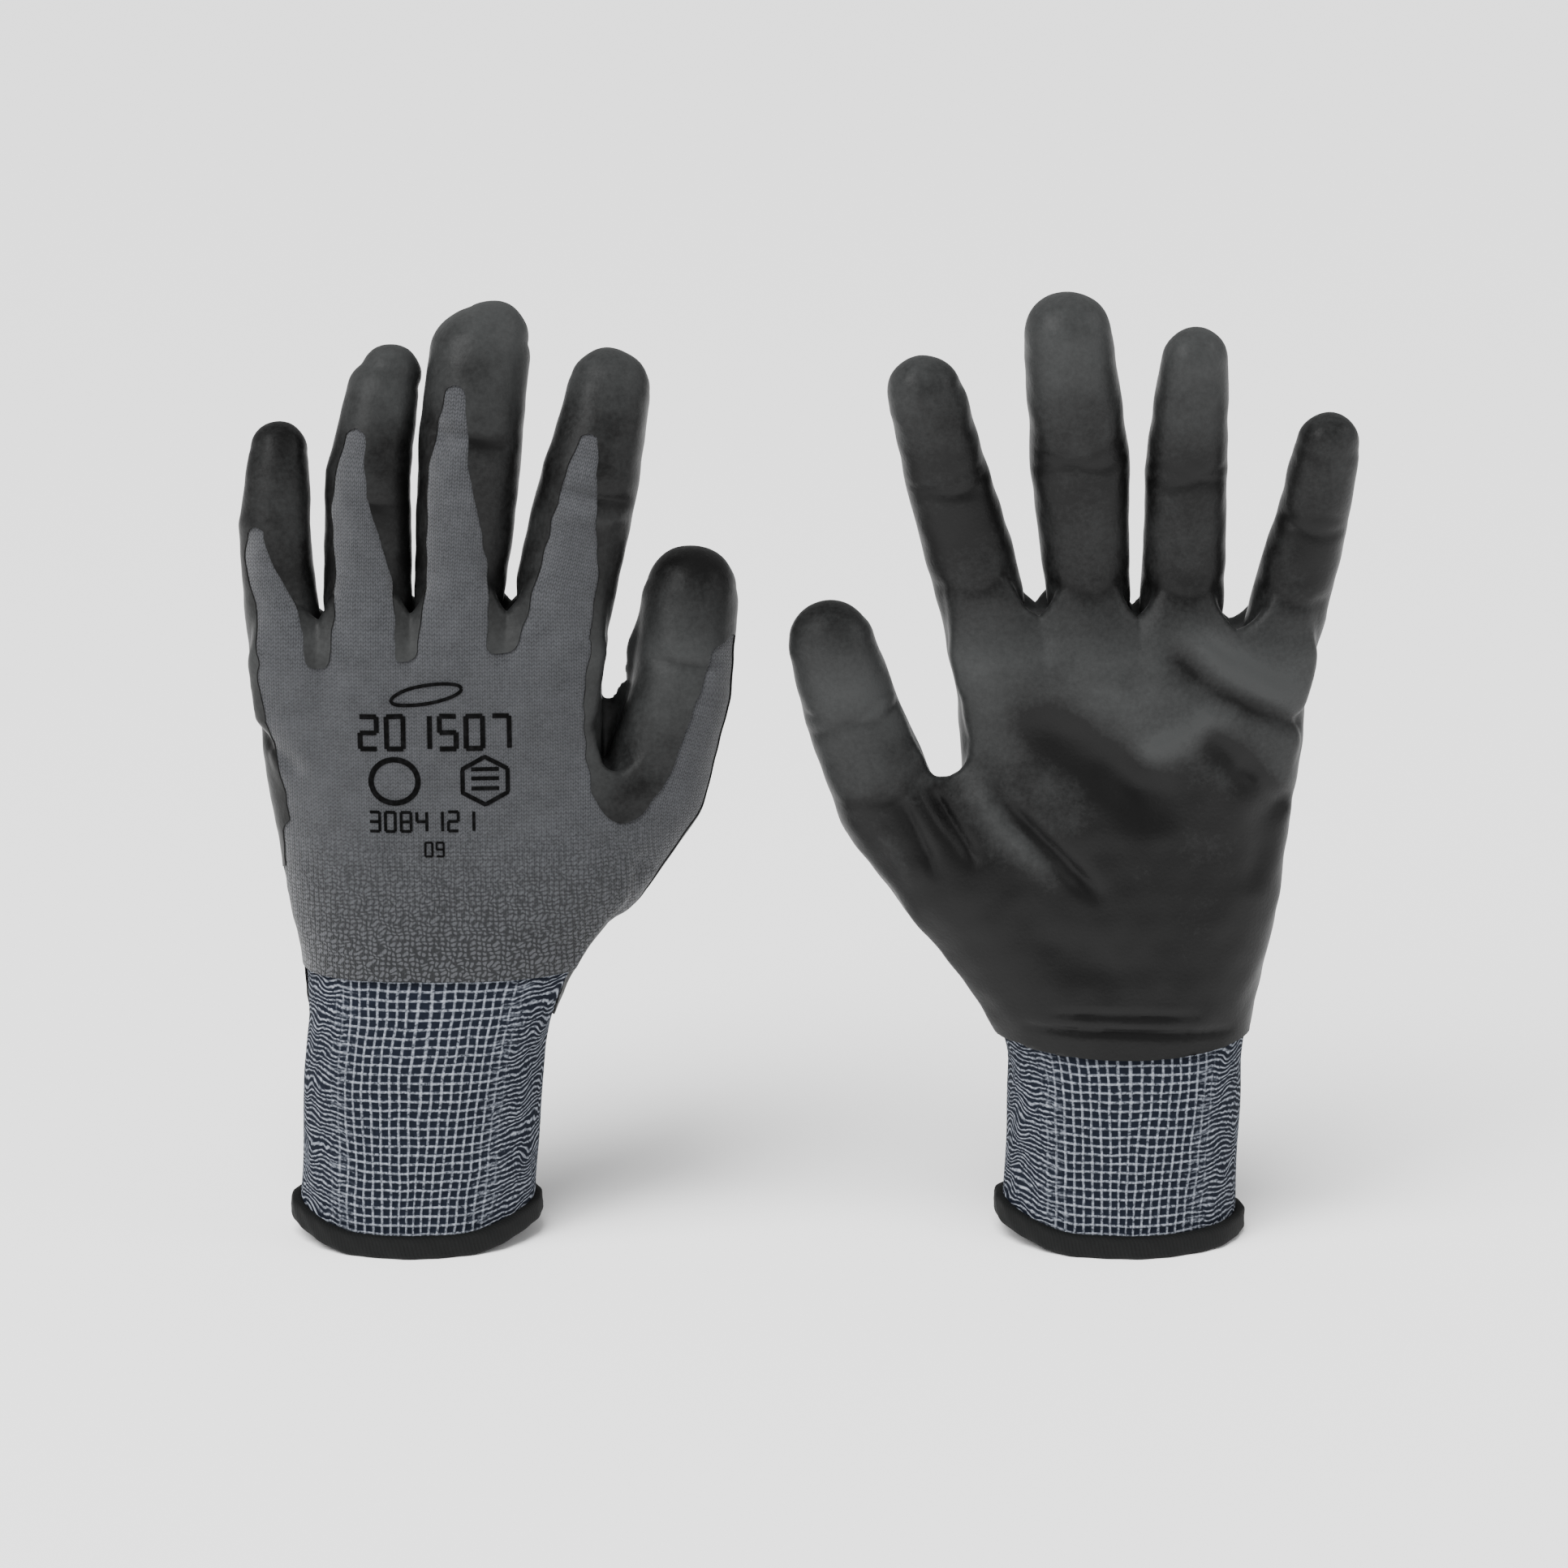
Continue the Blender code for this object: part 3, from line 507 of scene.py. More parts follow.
POWER = 2.5                # squareness of the palm's sections
DEPTH_RATIO = 0.86         # depth of a digit as a share of its width
CUFF_HALF = (32.0, 21.5)   # mm
HEM_HEIGHT = 6.0           # mm
RIB_TOP = 75.0             # mm up, where the fine knit begins at the back
DIP_EDGE = 54.5            # mm up, lower edge of the dip in front
DIP_RISE = 3.5             # mm that this edge rises to the sides
PALM_TOP = (165.5, 0.085)  # mm up at the middle, and its slope to the thumb side
HAND_SIDE = (2.5, 9.0)     # mm from the middle plane between which a web opens to a full fillet
LITTLE_SIDE = ((96, 103, 116, 131, 148, 160), (-3.0, 3.1, 5.2, 4.0, 2.0, 1.8))   # dip line: mm up, mm in
THUMB_SIDE = ((112, 118, 124, 136, 148, 171, 180), (-5.5, -1.0, 2.0, 3.4, 3.9, 1.2, 0.7))
TURN = 2 * math.pi


def axes_of(lean: float, curl: float) -> tuple[np.ndarray, np.ndarray, np.ndarray]:
    """Axes of a digit segment.

    Args:
        lean: Sideways lean in degrees.
        curl: Lean to the palm side in degrees.

    Returns:
        Lateral, palm-side and lengthwise unit vectors.
    """
    a, b = math.radians(lean), math.radians(curl)
    along = np.array((math.sin(a) * math.cos(b), math.sin(b), math.cos(a) * math.cos(b)))
    lateral = np.array((math.cos(a), 0.0, -math.sin(a)))
    normal = np.array((-math.sin(a) * math.sin(b), math.cos(b), -math.cos(a) * math.sin(b)))
    return lateral, normal, along


def smoothstep(low: float, high: float, value: np.ndarray) -> np.ndarray:
    """Smooth rise from 0 at low to 1 at high."""
    t = np.clip((value - low) / (high - low), 0.0, 1.0)
    return t * t * (3.0 - 2.0 * t)


def soft_min(a: np.ndarray, b: np.ndarray, radius: float | np.ndarray) -> np.ndarray:
    """Lower of two fields with a fillet of about the given radius."""
    h = np.maximum(radius - np.abs(a - b), 0.0) / radius
    return np.minimum(a, b) - h * h * radius * 0.25


def ripple(points: np.ndarray, length: float, seed: int) -> np.ndarray:
    """Smooth seeded waviness between about -1 and 1.

    Args:
        points: Places in mm.
        length: Typical wave length in mm.
        seed: Number that fixes the pattern.

    Returns:
        One value for each point.
    """
    rng = np.random.default_rng(seed)
    total = np.zeros(len(points))
    for _ in range(7):
        direction = rng.normal(size=3)
        direction *= 2 * math.pi / (length * rng.uniform(0.6, 1.6) * np.linalg.norm(direction))
        total += np.sin(points @ direction + rng.uniform(0, 2 * math.pi))
    return total / 3.2


class Chain:
    """A digit's knuckle, mid joint and tip, with measures taken along it."""

    def __init__(self, digit: Digit, root: np.ndarray, knuckle: np.ndarray) -> None:
        """Place the digit from its knuckle.

        Args:
            digit: The digit's pattern.
            root: Start of the digit inside the palm, in mm.
            knuckle: Middle of its knuckle, in mm.
        """
        self.digit = digit
        self.half = [w * 0.5 for w in digit.width]
        self.frames = [axes_of(l, c) for l, c in zip(digit.lean, digit.curl)]
        self.root, self.p0 = root, knuckle
        self.p1 = self.p0 + self.frames[1][2] * digit.length[0]
        self.p2 = self.p1 + self.frames[2][2] * digit.length[1]

    def cones(self) -> list[tuple[np.ndarray, np.ndarray, float, float]]:
        """List the round cones that make the digit.

        Returns:
            Both ends and both radii of each, in mm.
        """
        along = self.frames[2][2]
        mid = self.p1 + along * self.digit.length[1] * 0.62
        shift, share = self.digit.tip
        end = self.p2 - along * self.half[2] * share + self.frames[2][0] * shift
        swell = 1.2 if self.digit.name == "thumb" else 0.93
        waist = self.root + (self.p0 - self.root) * 0.55
        return [(self.root, waist, self.half[0] * 0.7, self.half[0] * swell),
                (waist, self.p0, self.half[0] * swell, self.half[0]),
                (self.p0, self.p1, self.half[0], self.half[1]),
                (self.p1, mid, self.half[1], self.half[2] * 1.02),
                (mid, end, self.half[2] * 1.02, self.half[2] * share)]

    def distance(self, points: np.ndarray) -> np.ndarray:
        """Signed distance to the digit.

        Args:
            points: Places in mm.

        Returns:
            Distance in mm, below zero inside.
        """
        squash = np.array((1.0, 1.0 / DEPTH_RATIO, 1.0))
        scaled = points * squash
        best = np.full(len(points), 1e3)
        for a, b, ra, rb in self.cones():
            a, b = a * squash, b * squash
            span = b - a
            t = np.clip((scaled - a) @ span / (span @ span), 0.0, 1.0)
            d = np.linalg.norm(scaled - a - t[:, None] * span, axis=1) - (ra + (rb - ra) * t)
            best = np.minimum(best, d)
        return best

    def measure(self, points: np.ndarray) -> tuple[np.ndarray, np.ndarray, np.ndarray]:
        """Place points along, across and above the digit's centre line.

        Args:
            points: Places in mm.

        Returns:
            Length from the knuckle, sideways and palm-side offsets.
        """
        parts = []
        for start, frame_ in ((self.p0, self.frames[1]), (self.p1, self.frames[2])):
            rel = points - start
            parts.append((rel @ frame_[2], rel @ frame_[0], rel @ frame_[1]))
        share = smoothstep(-5.0, 5.0, parts[1][0])
        length = self.digit.length[0]
        t = parts[0][0] * (1 - share) + (parts[1][0] + length) * share
        u, v = (parts[0][i] * (1 - share) + parts[1][i] * share for i in (1, 2))
        return t, u, v


class SkinField:
    """Shape and layer map of one glove's hand, in its own frame in mm."""

    def __init__(self, pattern: GlovePattern) -> None:
        """Place the digits and smooth the palm's sections.

        Args:
            pattern: The glove's pattern.
        """
        self.pattern = pattern
        self.chains = self.place()
        self.levels = np.arange(0.0, 190.0, 1.0)
        self.table = self.smooth_table()

    def place(self) -> dict[str, Chain]:
        """Set the digits side by side.

        Returns:
            Chains by digit name.
        """
        p = self.pattern
        x = p.top_middle - sum(d.width[0] + d.gap for d in p.digits) * 0.5
        chains = {}
        for d in p.digits:
            x += d.gap
            knuckle = np.array((x + d.width[0] * 0.5, 0.0, d.knuckle))
            x += d.width[0]
            chains[d.name] = Chain(d, knuckle - axes_of(d.lean[0], d.curl[0])[2] * 24.0, knuckle)
        chains["thumb"] = Chain(p.thumb, np.array(p.thumb_root), np.array(p.thumb_hinge))
        return chains

    def smooth_table(self) -> np.ndarray:
        """Blend the cuff and palm sections into one smooth table.

        Returns:
            Rows of centre x, centre y, half width, half depth and power by level.
        """
        rows = [(4.0, 0.0, 0.0, *CUFF_HALF, 2.0), (27.0, *self.mid_cuff(0.55), 2.2)]
        for z, x0, x1, back, front in self.pattern.palm:
            rows.append((z, (x0 + x1) / 2, (front - back) / 2, (x1 - x0) / 2, (front + back) / 2, POWER))
        rows = np.array(rows)
        table = np.stack([np.interp(self.levels, rows[:, 0], rows[:, i]) for i in range(1, 6)], axis=1)
        kernel = np.exp(-0.5 * (np.arange(-9, 10) / 3.2) ** 2)
        kernel /= kernel.sum()
        padded = np.pad(table, ((9, 9), (0, 0)), mode="edge")
        return np.stack([np.convolve(padded[:, i], kernel, mode="valid") for i in range(5)], axis=1)

    def mid_cuff(self, share: float) -> tuple[float, float, float, float]:
        """Section part of the way up the cuff.

        Args:
            share: How far up, from 0 at the hem to 1 at the wrist.

        Returns:
            Centre x and y, half width and half depth in mm.
        """
        _, x0, x1, back, front = self.pattern.palm[0]
        return ((x0 + x1) / 2 * share, 0.0, CUFF_HALF[0] + ((x1 - x0) / 2 - CUFF_HALF[0]) * share,
                CUFF_HALF[1] + ((back + front) / 2 - CUFF_HALF[1]) * share)

    def section(self, z: np.ndarray) -> list[np.ndarray]:
        """Section values at given heights."""
        return [np.interp(z, self.levels, self.table[:, i]) for i in range(5)]

    def palm(self, points: np.ndarray) -> np.ndarray:
        """Signed distance to the palm and wrist.

        Args:
            points: Places in mm.

        Returns:
            Distance in mm.
        """
        cx, cy, a, b, power = self.section(points[:, 2])
        x, y = points[:, 0] - cx, points[:, 1] - cy
        f = (np.abs(x / a) ** power + np.abs(y / b) ** power) ** (1.0 / power) + 1e-6
        r = np.sqrt(x * x + y * y)
        wall = r - r / f
        top = points[:, 2] - (PALM_TOP[0] + PALM_TOP[1] * x)
        return -soft_min(-wall, -top, 9.0)

    def distance(self, points: np.ndarray) -> np.ndarray:
        """Signed distance to the whole glove above the cuff.

        Args:
            points: Places in mm.

        Returns:
            Distance in mm, below zero inside.
        """
        palm = self.palm(points)
        total = palm
        side = smoothstep(*HAND_SIDE, np.abs(points[:, 1]))
        for name, chain in self.chains.items():
            radius = 5.0 + 17.0 * side if name == "thumb" else 2.5 + 15.0 * side
            total = np.minimum(total, soft_min(palm, chain.distance(points), radius))
        return total + self.folds(points)

    def folds(self, points: np.ndarray) -> np.ndarray:
        """Creases, ridges and cloth waviness as an offset of the distance.

        Args:
            points: Places in mm.

        Returns:
            Offset in mm.
        """
        seed = self.pattern.seed
        wave = 0.32 * ripple(points, 26.0, seed) + 0.12 * ripple(points, 9.0, seed + 1)
        return wave * smoothstep(50.0, 64.0, points[:, 2]) + self.creases(points)

    def creases(self, points: np.ndarray) -> np.ndarray:
        """Depth of the creases, above zero where the skin is pressed in.

        Args:
            points: Places in mm.

        Returns:
            Depth in mm.
        """
        offset = np.zeros(len(points))
        flat = points[:, (0, 2)]
        for fold in self.pattern.folds:
            a, b = np.array(fold.start, float), np.array(fold.end, float)
            span = b - a
            t = (flat - a) @ span / (span @ span)
            away = np.linalg.norm(flat - a - np.clip(t, 0, 1)[:, None] * span, axis=1)
            ends = smoothstep(-0.15, 0.25, t) * (1 - smoothstep(0.75, 1.15, t))
            ends = ends * smoothstep(-2.0, 6.0, points[:, 1] * fold.side)
            offset += fold.depth * np.exp(-(away / fold.width) ** 2) * ends
        for chain in self.chains.values():
            t, u, v = chain.measure(points)
            near = np.exp(-((u / (chain.half[0] * 1.3)) ** 4))
            near = near * smoothstep(-1.0, 5.0, v) * (t > -10)
            middle = chain.digit.length[0]
            for at, depth, width in ((middle, 0.55, 1.6), (middle + 3.4, 0.35, 1.2), (5.0, 0.45, 1.8)):
                wave = at + 1.1 * np.sin(u * 0.35 + at)
                offset += depth * np.exp(-((t - wave) / width) ** 2) * near
        return offset

    def slopes(self, points: np.ndarray) -> tuple[np.ndarray, np.ndarray]:
        """Field value and gradient.

        Args:
            points: Places in mm.

        Returns:
            Distance and its gradient.
        """
        step = 0.35
        gradient = np.zeros_like(points)
        for axis in range(3):
            shift = np.zeros(3)
            shift[axis] = step
            gradient[:, axis] = (self.distance(points + shift) - self.distance(points - shift)) / (2 * step)
        return self.distance(points), gradient

    def nearest(self, points: np.ndarray) -> tuple[np.ndarray, dict[str, tuple]]:
        """Name the digit each point belongs to.

        Args:
            points: Places in mm.

        Returns:
            Index of the nearest digit, and each digit's measures.
        """
        measures = {name: chain.measure(points) for name, chain in self.chains.items()}
        distances = np.stack([chain.distance(points) for chain in self.chains.values()])
        return np.argmin(distances, axis=0), measures

    def coating(self, points: np.ndarray) -> np.ndarray:
        """Map of the dip: above zero where the skin is coated, in mm from the dip line.

        Args:
            points: Places in mm.

        Returns:
            Signed distance in mm.
        """
        x, y, z = points.T
        cx, cy, a, _, _ = self.section(z)
        owner, measures = self.nearest(points)
        front = y - cy + 1.2 - 5.0 * (1 - smoothstep(82.0, 104.0, z))
        level_150 = self.section(np.array([150.0]))
        edge_150 = float((level_150[0] + level_150[2])[0])
        left = cx - a + np.interp(z, *LITTLE_SIDE) - x
        left -= 30.0 * smoothstep(158.0, 172.0, z)
        right = x - edge_150 + np.interp(z, *THUMB_SIDE)
        top = z - (158.6 + 0.085 * (x - cx))
        bare = np.maximum(np.maximum(left, right), top)
        below = np.maximum(left, z - 112.5)
        bare = soft_min(bare, below, 7.0)
        for k, (name, chain) in enumerate(self.chains.items()):
            t, u, v = measures[name]
            end, shift = chain.digit.arch
            if name == "thumb":
                edge = np.interp(t, (-16, -6, 6, 26, end - 4, end),
                                 (-9.0, -1.5, 2.4, 3.6, shift - 1.5, shift + 2.5))
                strip = np.maximum(np.maximum(edge - u, t - end), -34.0 - t)
                bare = soft_min(bare, strip, 7.0)
            else:
                wide = 0.84 * chain.half[0]
                half = wide * np.tanh((2.0 + 0.2 * np.clip(end - t, 0, 80)) / wide)
                half = np.minimum(half, np.sqrt(4.5 * np.clip(end - t, 0.01, 80)))
                lean = shift * smoothstep(0.0, end * 0.7, t)
                strip = np.maximum(np.abs(u - lean) - half, (t - end) * 0.7)
                strip = np.maximum(strip, -26.0 - t)
                strip = np.maximum(strip, right - 40.0 * smoothstep(164.0, 178.0, z))
                strip = np.maximum(strip, left)
                bare = soft_min(bare, strip, 2.5)
            level = smoothstep(-6.0, 4.0, t) * (owner == k)
            front = front * (1 - level) + (v + 1.6) * level
        front = np.minimum(front, z - DIP_EDGE - DIP_RISE * ((x - cx) / a) ** 2)
        wobble = 0.3 * ripple(points, 8.0, self.pattern.seed + 5)
        return np.maximum(front, bare) + wobble

    def lower_edge(self, points: np.ndarray) -> np.ndarray:
        """Height of the skin's lower edge: the dip line in front, the rib's top behind.

        Args:
            points: Places in mm.

        Returns:
            Heights in mm.
        """
        x, y, z = points.T
        cx, _, a, _, _ = self.section(z)
        dip = DIP_EDGE + DIP_RISE * np.clip((x - cx) / a, -1, 1) ** 2
        back = 1 - smoothstep(-1.0, 7.0, y)
        return dip + (RIB_TOP - dip) * back

    def pattern_uv(self, points: np.ndarray) -> np.ndarray:
        """Knit coordinates in mm that turn to run along each digit.

        Args:
            points: Places in mm.

        Returns:
            Two columns: across and along the knit.
        """
        uv = np.stack((points[:, 0], points[:, 2]), axis=1)
        for name, chain in self.chains.items():
            t, u, v = chain.measure(points)
            reach = 14.0 if name == "thumb" else 8.0
            away = np.hypot(u, v / DEPTH_RATIO) - chain.half[0]
            share = (smoothstep(-reach * 1.6, reach, t) * (1 - smoothstep(0.5, 9.0, away)))[:, None]
            around = np.arctan2(u, -v) * chain.half[0] * 0.95
            own = np.stack((around + chain.p0[0], t + chain.p0[2]), axis=1)
            uv = uv * (1 - share) + own * share
        return uv


def to_world(points: np.ndarray, pattern: GlovePattern) -> np.ndarray:
    """Take glove-frame mm to row-frame metres."""
    c = math.cos(math.radians(pattern.turn))
    return points * np.array((c, c, 1.0)) * MM + np.array((pattern.place, 0.0, 0.0))


def show(name: str, data: bpy.types.ID) -> bpy.types.Object:
    """Put new data into the scene.

    Args:
        name: Object name.
        data: Mesh, curve, light or camera.

    Returns:
        The new object.
    """
    obj = bpy.data.objects.new(name, data)
    bpy.context.scene.collection.objects.link(obj)
    return obj


def numbered(bm: bmesh.types.BMesh) -> np.ndarray:
    """Number a mesh's vertices.

    Args:
        bm: The mesh.

    Returns:
        The vertices' places as rows.
    """
    bm.verts.index_update()
    bm.verts.ensure_lookup_table()
    return np.array([v.co[:] for v in bm.verts])


def closed_tube(points: np.ndarray, around: int,
                layers: dict[str, Callable[[int, int], tuple[float, float]]]) -> bmesh.types.BMesh:
    """Join rows of points to a tube that closes both ways.

    Args:
        points: Places in metres, row by row.
        around: Points in a row.
        layers: Coordinates by row and column, for each UV layer; both count on past the seams.

    Returns:
        The mesh.
    """
    total = len(points) // around
    bm = bmesh.new()
    coords = [(bm.loops.layers.uv.new(name), at) for name, at in layers.items()]
    verts = [bm.verts.new(p) for p in points]
    for r in range(total):
        for i in range(around):
            corners = ((r, i), (r, i + 1), (r + 1, i + 1), (r + 1, i))
            face = bm.faces.new([verts[a % total * around + b % around] for a, b in corners])
            for loop, corner in zip(face.loops, corners):
                for layer, at in coords:
                    loop[layer].uv = at(*corner)
    return bm


def finish_piece(name: str, bm: bmesh.types.BMesh, material: bpy.types.Material) -> bpy.types.Object:
    """Turn a bmesh in row-frame metres to a smooth piece.

    Args:
        name: Piece name.
        bm: Mesh, freed here.
        material: Finish.

    Returns:
        The new object.
    """
    mesh = bpy.data.meshes.new(name)
    bm.to_mesh(mesh)
    bm.free()
    mesh.shade_smooth()
    mesh.materials.append(material)
    obj = show(name, mesh)
    return obj


@dataclass
class Skin:
    """Knit liner and dipped coating of one glove, split at its joints."""

    pattern: GlovePattern
    finishes: dict[Layer, bpy.types.Material]
    voxel: float = 1.0       # mm between surface points
    band: float = 7.0        # mm either side of the surface in which the field is worked out
    lip: float = 0.42        # mm that the coating stands above the knit
    shape: SkinField = field(init=False)

    def __post_init__(self) -> None:
        """Make the shape field."""
        self.shape = SkinField(self.pattern)

    def surface(self) -> bmesh.types.BMesh:
        """Mesh the field's zero surface and settle it on the exact shape.

        Returns:
            Mesh in the glove's frame in mm.
        """
        low, high = np.array((-62.0, -30.0, 44.0)), np.array((98.0, 44.0, 262.0))
        counts = ((high - low) / self.voxel).astype(int) + 1
        axes = [low[i] + self.voxel * np.arange(counts[i]) for i in range(3)]
        grid = np.stack(np.meshgrid(*axes, indexing="ij"), axis=-1).reshape(-1, 3)
        rough = self.shape.palm(grid)
        for chain in self.shape.chains.values():
            rough = np.minimum(rough, chain.distance(grid))
        near = np.abs(rough) < self.band
        values = np.clip(rough, -self.band, self.band)
        values[near] = self.shape.distance(grid[near])
        volume = openvdb.FloatGrid(background=self.band)
        volume.copyFromArray(values.reshape(counts).astype(np.float32))
        points, quads = volume.convertToQuads(0.0)
        points = points.astype(float) * self.voxel + low
        for _ in range(3):
            value, gradient = self.shape.slopes(points)
            size = np.maximum((gradient ** 2).sum(axis=1), 0.2)
            points = points - gradient * np.clip(value / size, -0.8, 0.8)[:, None]
        bm = bmesh.new()
        verts = [bm.verts.new(p) for p in points]
        for quad in quads:
            bm.faces.new([verts[i] for i in reversed(quad)])
        bm.normal_update()
        top = max(bm.faces, key=lambda f: f.calc_center_median().z)
        if top.normal.z < 0:
            bmesh.ops.reverse_faces(bm, faces=bm.faces[:])
        return bm

    def trim(self, bm: bmesh.types.BMesh) -> None:
        """Cut the skin at its lower edge.

        Args:
            bm: Skin mesh.
        """
        points = numbered(bm)
        above = points[:, 2] - self.shape.lower_edge(points)
        doomed = [f for f in bm.faces if all(above[v.index] < 0 for v in f.verts)]
        bmesh.ops.delete(bm, geom=doomed, context="FACES")
        for v, z in zip(bm.verts, self.shape.lower_edge(numbered(bm))):
            v.co.z = max(v.co.z, z)

    def cut(self, bm: bmesh.types.BMesh, chain: Chain, start: np.ndarray, normal: np.ndarray) -> None:
        """Cut the skin round one digit with a plane.

        Args:
            bm: Skin mesh.
            chain: Digit to cut.
            start: Point on the plane.
            normal: Plane normal.
        """
        faces = []
        reach = max(chain.half) * 1.35
        for f in bm.faces:
            rel = np.array(f.calc_center_median()) - start
            height = rel @ normal
            if abs(height) < 3.0 and np.linalg.norm(rel - normal * height) < reach:
                faces.append(f)
        geom = list({*faces, *(e for f in faces for e in f.edges), *(v for f in faces for v in f.verts)})
        bmesh.ops.bisect_plane(bm, geom=geom, dist=1e-4, plane_co=start, plane_no=normal)

    def split_layers(self, bm: bmesh.types.BMesh) -> None:
        """Add an edge line along the dip line.

        Args:
            bm: Skin mesh.
        """
        value = self.shape.coating(numbered(bm))
        value = np.where(np.abs(value) < 0.05, 0.05, value)
        fresh = set()
        for edge in bm.edges[:]:
            a, b = edge.verts
            va, vb = value[a.index], value[b.index]
            if (va > 0) != (vb > 0):
                share = float(np.clip(va / (va - vb), 0.06, 0.94))
                fresh.add(bmesh.utils.edge_split(edge, a, share)[1])
        for face in bm.faces[:]:
            on_line = [v for v in face.verts if v in fresh]
            if len(on_line) in (2, 4):
                try:
                    bmesh.utils.face_split(face, on_line[0], on_line[1])
                except ValueError:
                    continue   # the two are joined by an edge already

    def planes(self) -> dict[str, tuple]:
        """Cut planes and joint spans of each digit.

        Returns:
            By name: knuckle start, knuckle end, mid cut, mid start and mid end, in mm along the digit.
        """
        out = {}
        for name, chain in self.shape.chains.items():
            length = chain.digit.length[0]
            low = 3.0 if name == "thumb" else -4.0
            knuckle_end = 13.0 if name == "thumb" else 11.0
            out[name] = (low, knuckle_end, (knuckle_end + length - 7.0) * 0.5, length - 7.0, length + 8.0)
        return out

    def build(self) -> list[bpy.types.Object]:
        """Make every skin piece.

        Returns:
            The pieces.
        """
        bm = self.surface()
        self.trim(bm)
        planes = self.planes()
        for name, chain in self.shape.chains.items():
            along = chain.frames[1][2]
            self.cut(bm, chain, chain.p0 + along * planes[name][0], along)
            self.cut(bm, chain, chain.p0 + along * planes[name][2], along)
        self.split_layers(bm)
        bm.normal_update()
        points = numbered(bm)
        normals = np.array([v.normal[:] for v in bm.verts])
        centres = np.array([f.calc_center_median()[:] for f in bm.faces])
        coated = self.shape.coating(centres) > 0
        corners = [[v.index for v in f.verts] for f in bm.faces]
        bm.free()
        region = self.regions(centres, planes)
        uv = np.column_stack((self.shape.pattern_uv(points), self.shape.creases(points)))
        pieces = []
        names = ["hand"] + [f"{n}_{part}" for n in self.shape.chains for part in ("base", "tip")]
        for index, name in enumerate(names):
            for layer in Layer:
                chosen = np.flatnonzero((region == index) & (coated == (layer is Layer.COATING)))
                if len(chosen):
                    pieces.append(self.piece(name, layer, [corners[i] for i in chosen], points, normals, uv))
        return pieces

    def regions(self, centres: np.ndarray, planes: dict[str, tuple]) -> np.ndarray:
        """Sort faces by the piece they belong to.

        Args:
            centres: Face centres in mm.
            planes: Cut planes by digit.

        Returns:
            Piece index by face.
        """
        owner, _ = self.shape.nearest(centres)
        palm = self.shape.palm(centres)
        region = np.zeros(len(centres), int)
        for k, (name, chain) in enumerate(self.shape.chains.items()):
            rel = (centres - chain.p0) @ chain.frames[1][2]
            radial = np.linalg.norm(centres - chain.p0 - rel[:, None] * chain.frames[1][2], axis=1)
            mine = (owner == k) & (rel > planes[name][0]) & ((radial < chain.half[0] * 1.6) | (rel > 14.0))
            if name == "thumb":
                mine &= chain.distance(centres) < palm
            region[mine] = 1 + 2 * k
            region[mine & (rel > planes[name][2])] = 2 + 2 * k
        return region

    def piece(self, name: str, layer: Layer, faces: list[list[int]], points: np.ndarray,
              normals: np.ndarray, uv: np.ndarray) -> bpy.types.Object:
        """Make one layer of one skin piece.

        Args:
            name: Region name.
            layer: Knit or coating.
            faces: Vertex numbers of each face.
            points: All skin points in mm.
            normals: All skin normals.
            uv: All knit coordinates and crease depths in mm.

        Returns:
            The piece.
        """
        used = sorted({i for f in faces for i in f})
        lookup = {old: new for new, old in enumerate(used)}
        place, normal = points[used], normals[used]
        if layer is Layer.COATING:
            place = place + normal * self.lip
        bm = bmesh.new()
        verts = [bm.verts.new(p) for p in to_world(place, self.pattern)]
        for f in faces:
            try:
                bm.faces.new([verts[lookup[i]] for i in f])
            except ValueError:
                continue
        # The second UV layer carries crease depth, from which the coating paints shade in creases and
        # highlight on ridges.
        layer_uv, layer_crease_depth = bm.loops.layers.uv.new("pattern"), bm.loops.layers.uv.new("pool")
        bm.verts.index_update()
        for f in bm.faces:
            for loop in f.loops:
                across, along, depth = uv[used[loop.vert.index]]
                loop[layer_uv].uv = (across, along)
                loop[layer_crease_depth].uv = (depth, 0.0)
        c = math.cos(math.radians(self.pattern.turn))
        shade = [tuple(n) for n in normal * np.array((c, c, 1.0))]
        if layer is Layer.COATING:
            shade += self.skirt(bm, shade)
        ending, node, slot = layer.value
        obj = finish_piece(f"{self.pattern.name}_{name}_{ending}", bm, self.finishes[layer])
        obj.data.normals_split_custom_set_from_vertices(shade)
        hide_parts(f"{self.pattern.name}_{name}_{node}")
        self.attach(obj, name)
        return obj

    def skirt(self, bm: bmesh.types.BMesh, shade: list[tuple]) -> list[tuple]:
        """Turn the coating's open edges down to the knit.

        Args:
            bm: Coating mesh in metres.
            shade: Normals of its vertices.

        Returns:
            Normals of the added vertices.
        """
        bm.verts.ensure_lookup_table()
        edges = [e for e in bm.edges if e.is_boundary]
        made = {}
        extra = []
        for e in edges:
            for v in e.verts:
                if v not in made:
                    n = Vector(shade[v.index])
                    made[v] = bm.verts.new(v.co - n * (self.lip * 1.6 * MM))
                    extra.append(shade[v.index])
        for e in edges:
            b = e.link_loops[0].vert
            a = e.other_vert(b)
            bm.faces.new((a, b, made[b], made[a]))
        bm.verts.index_update()
        return extra

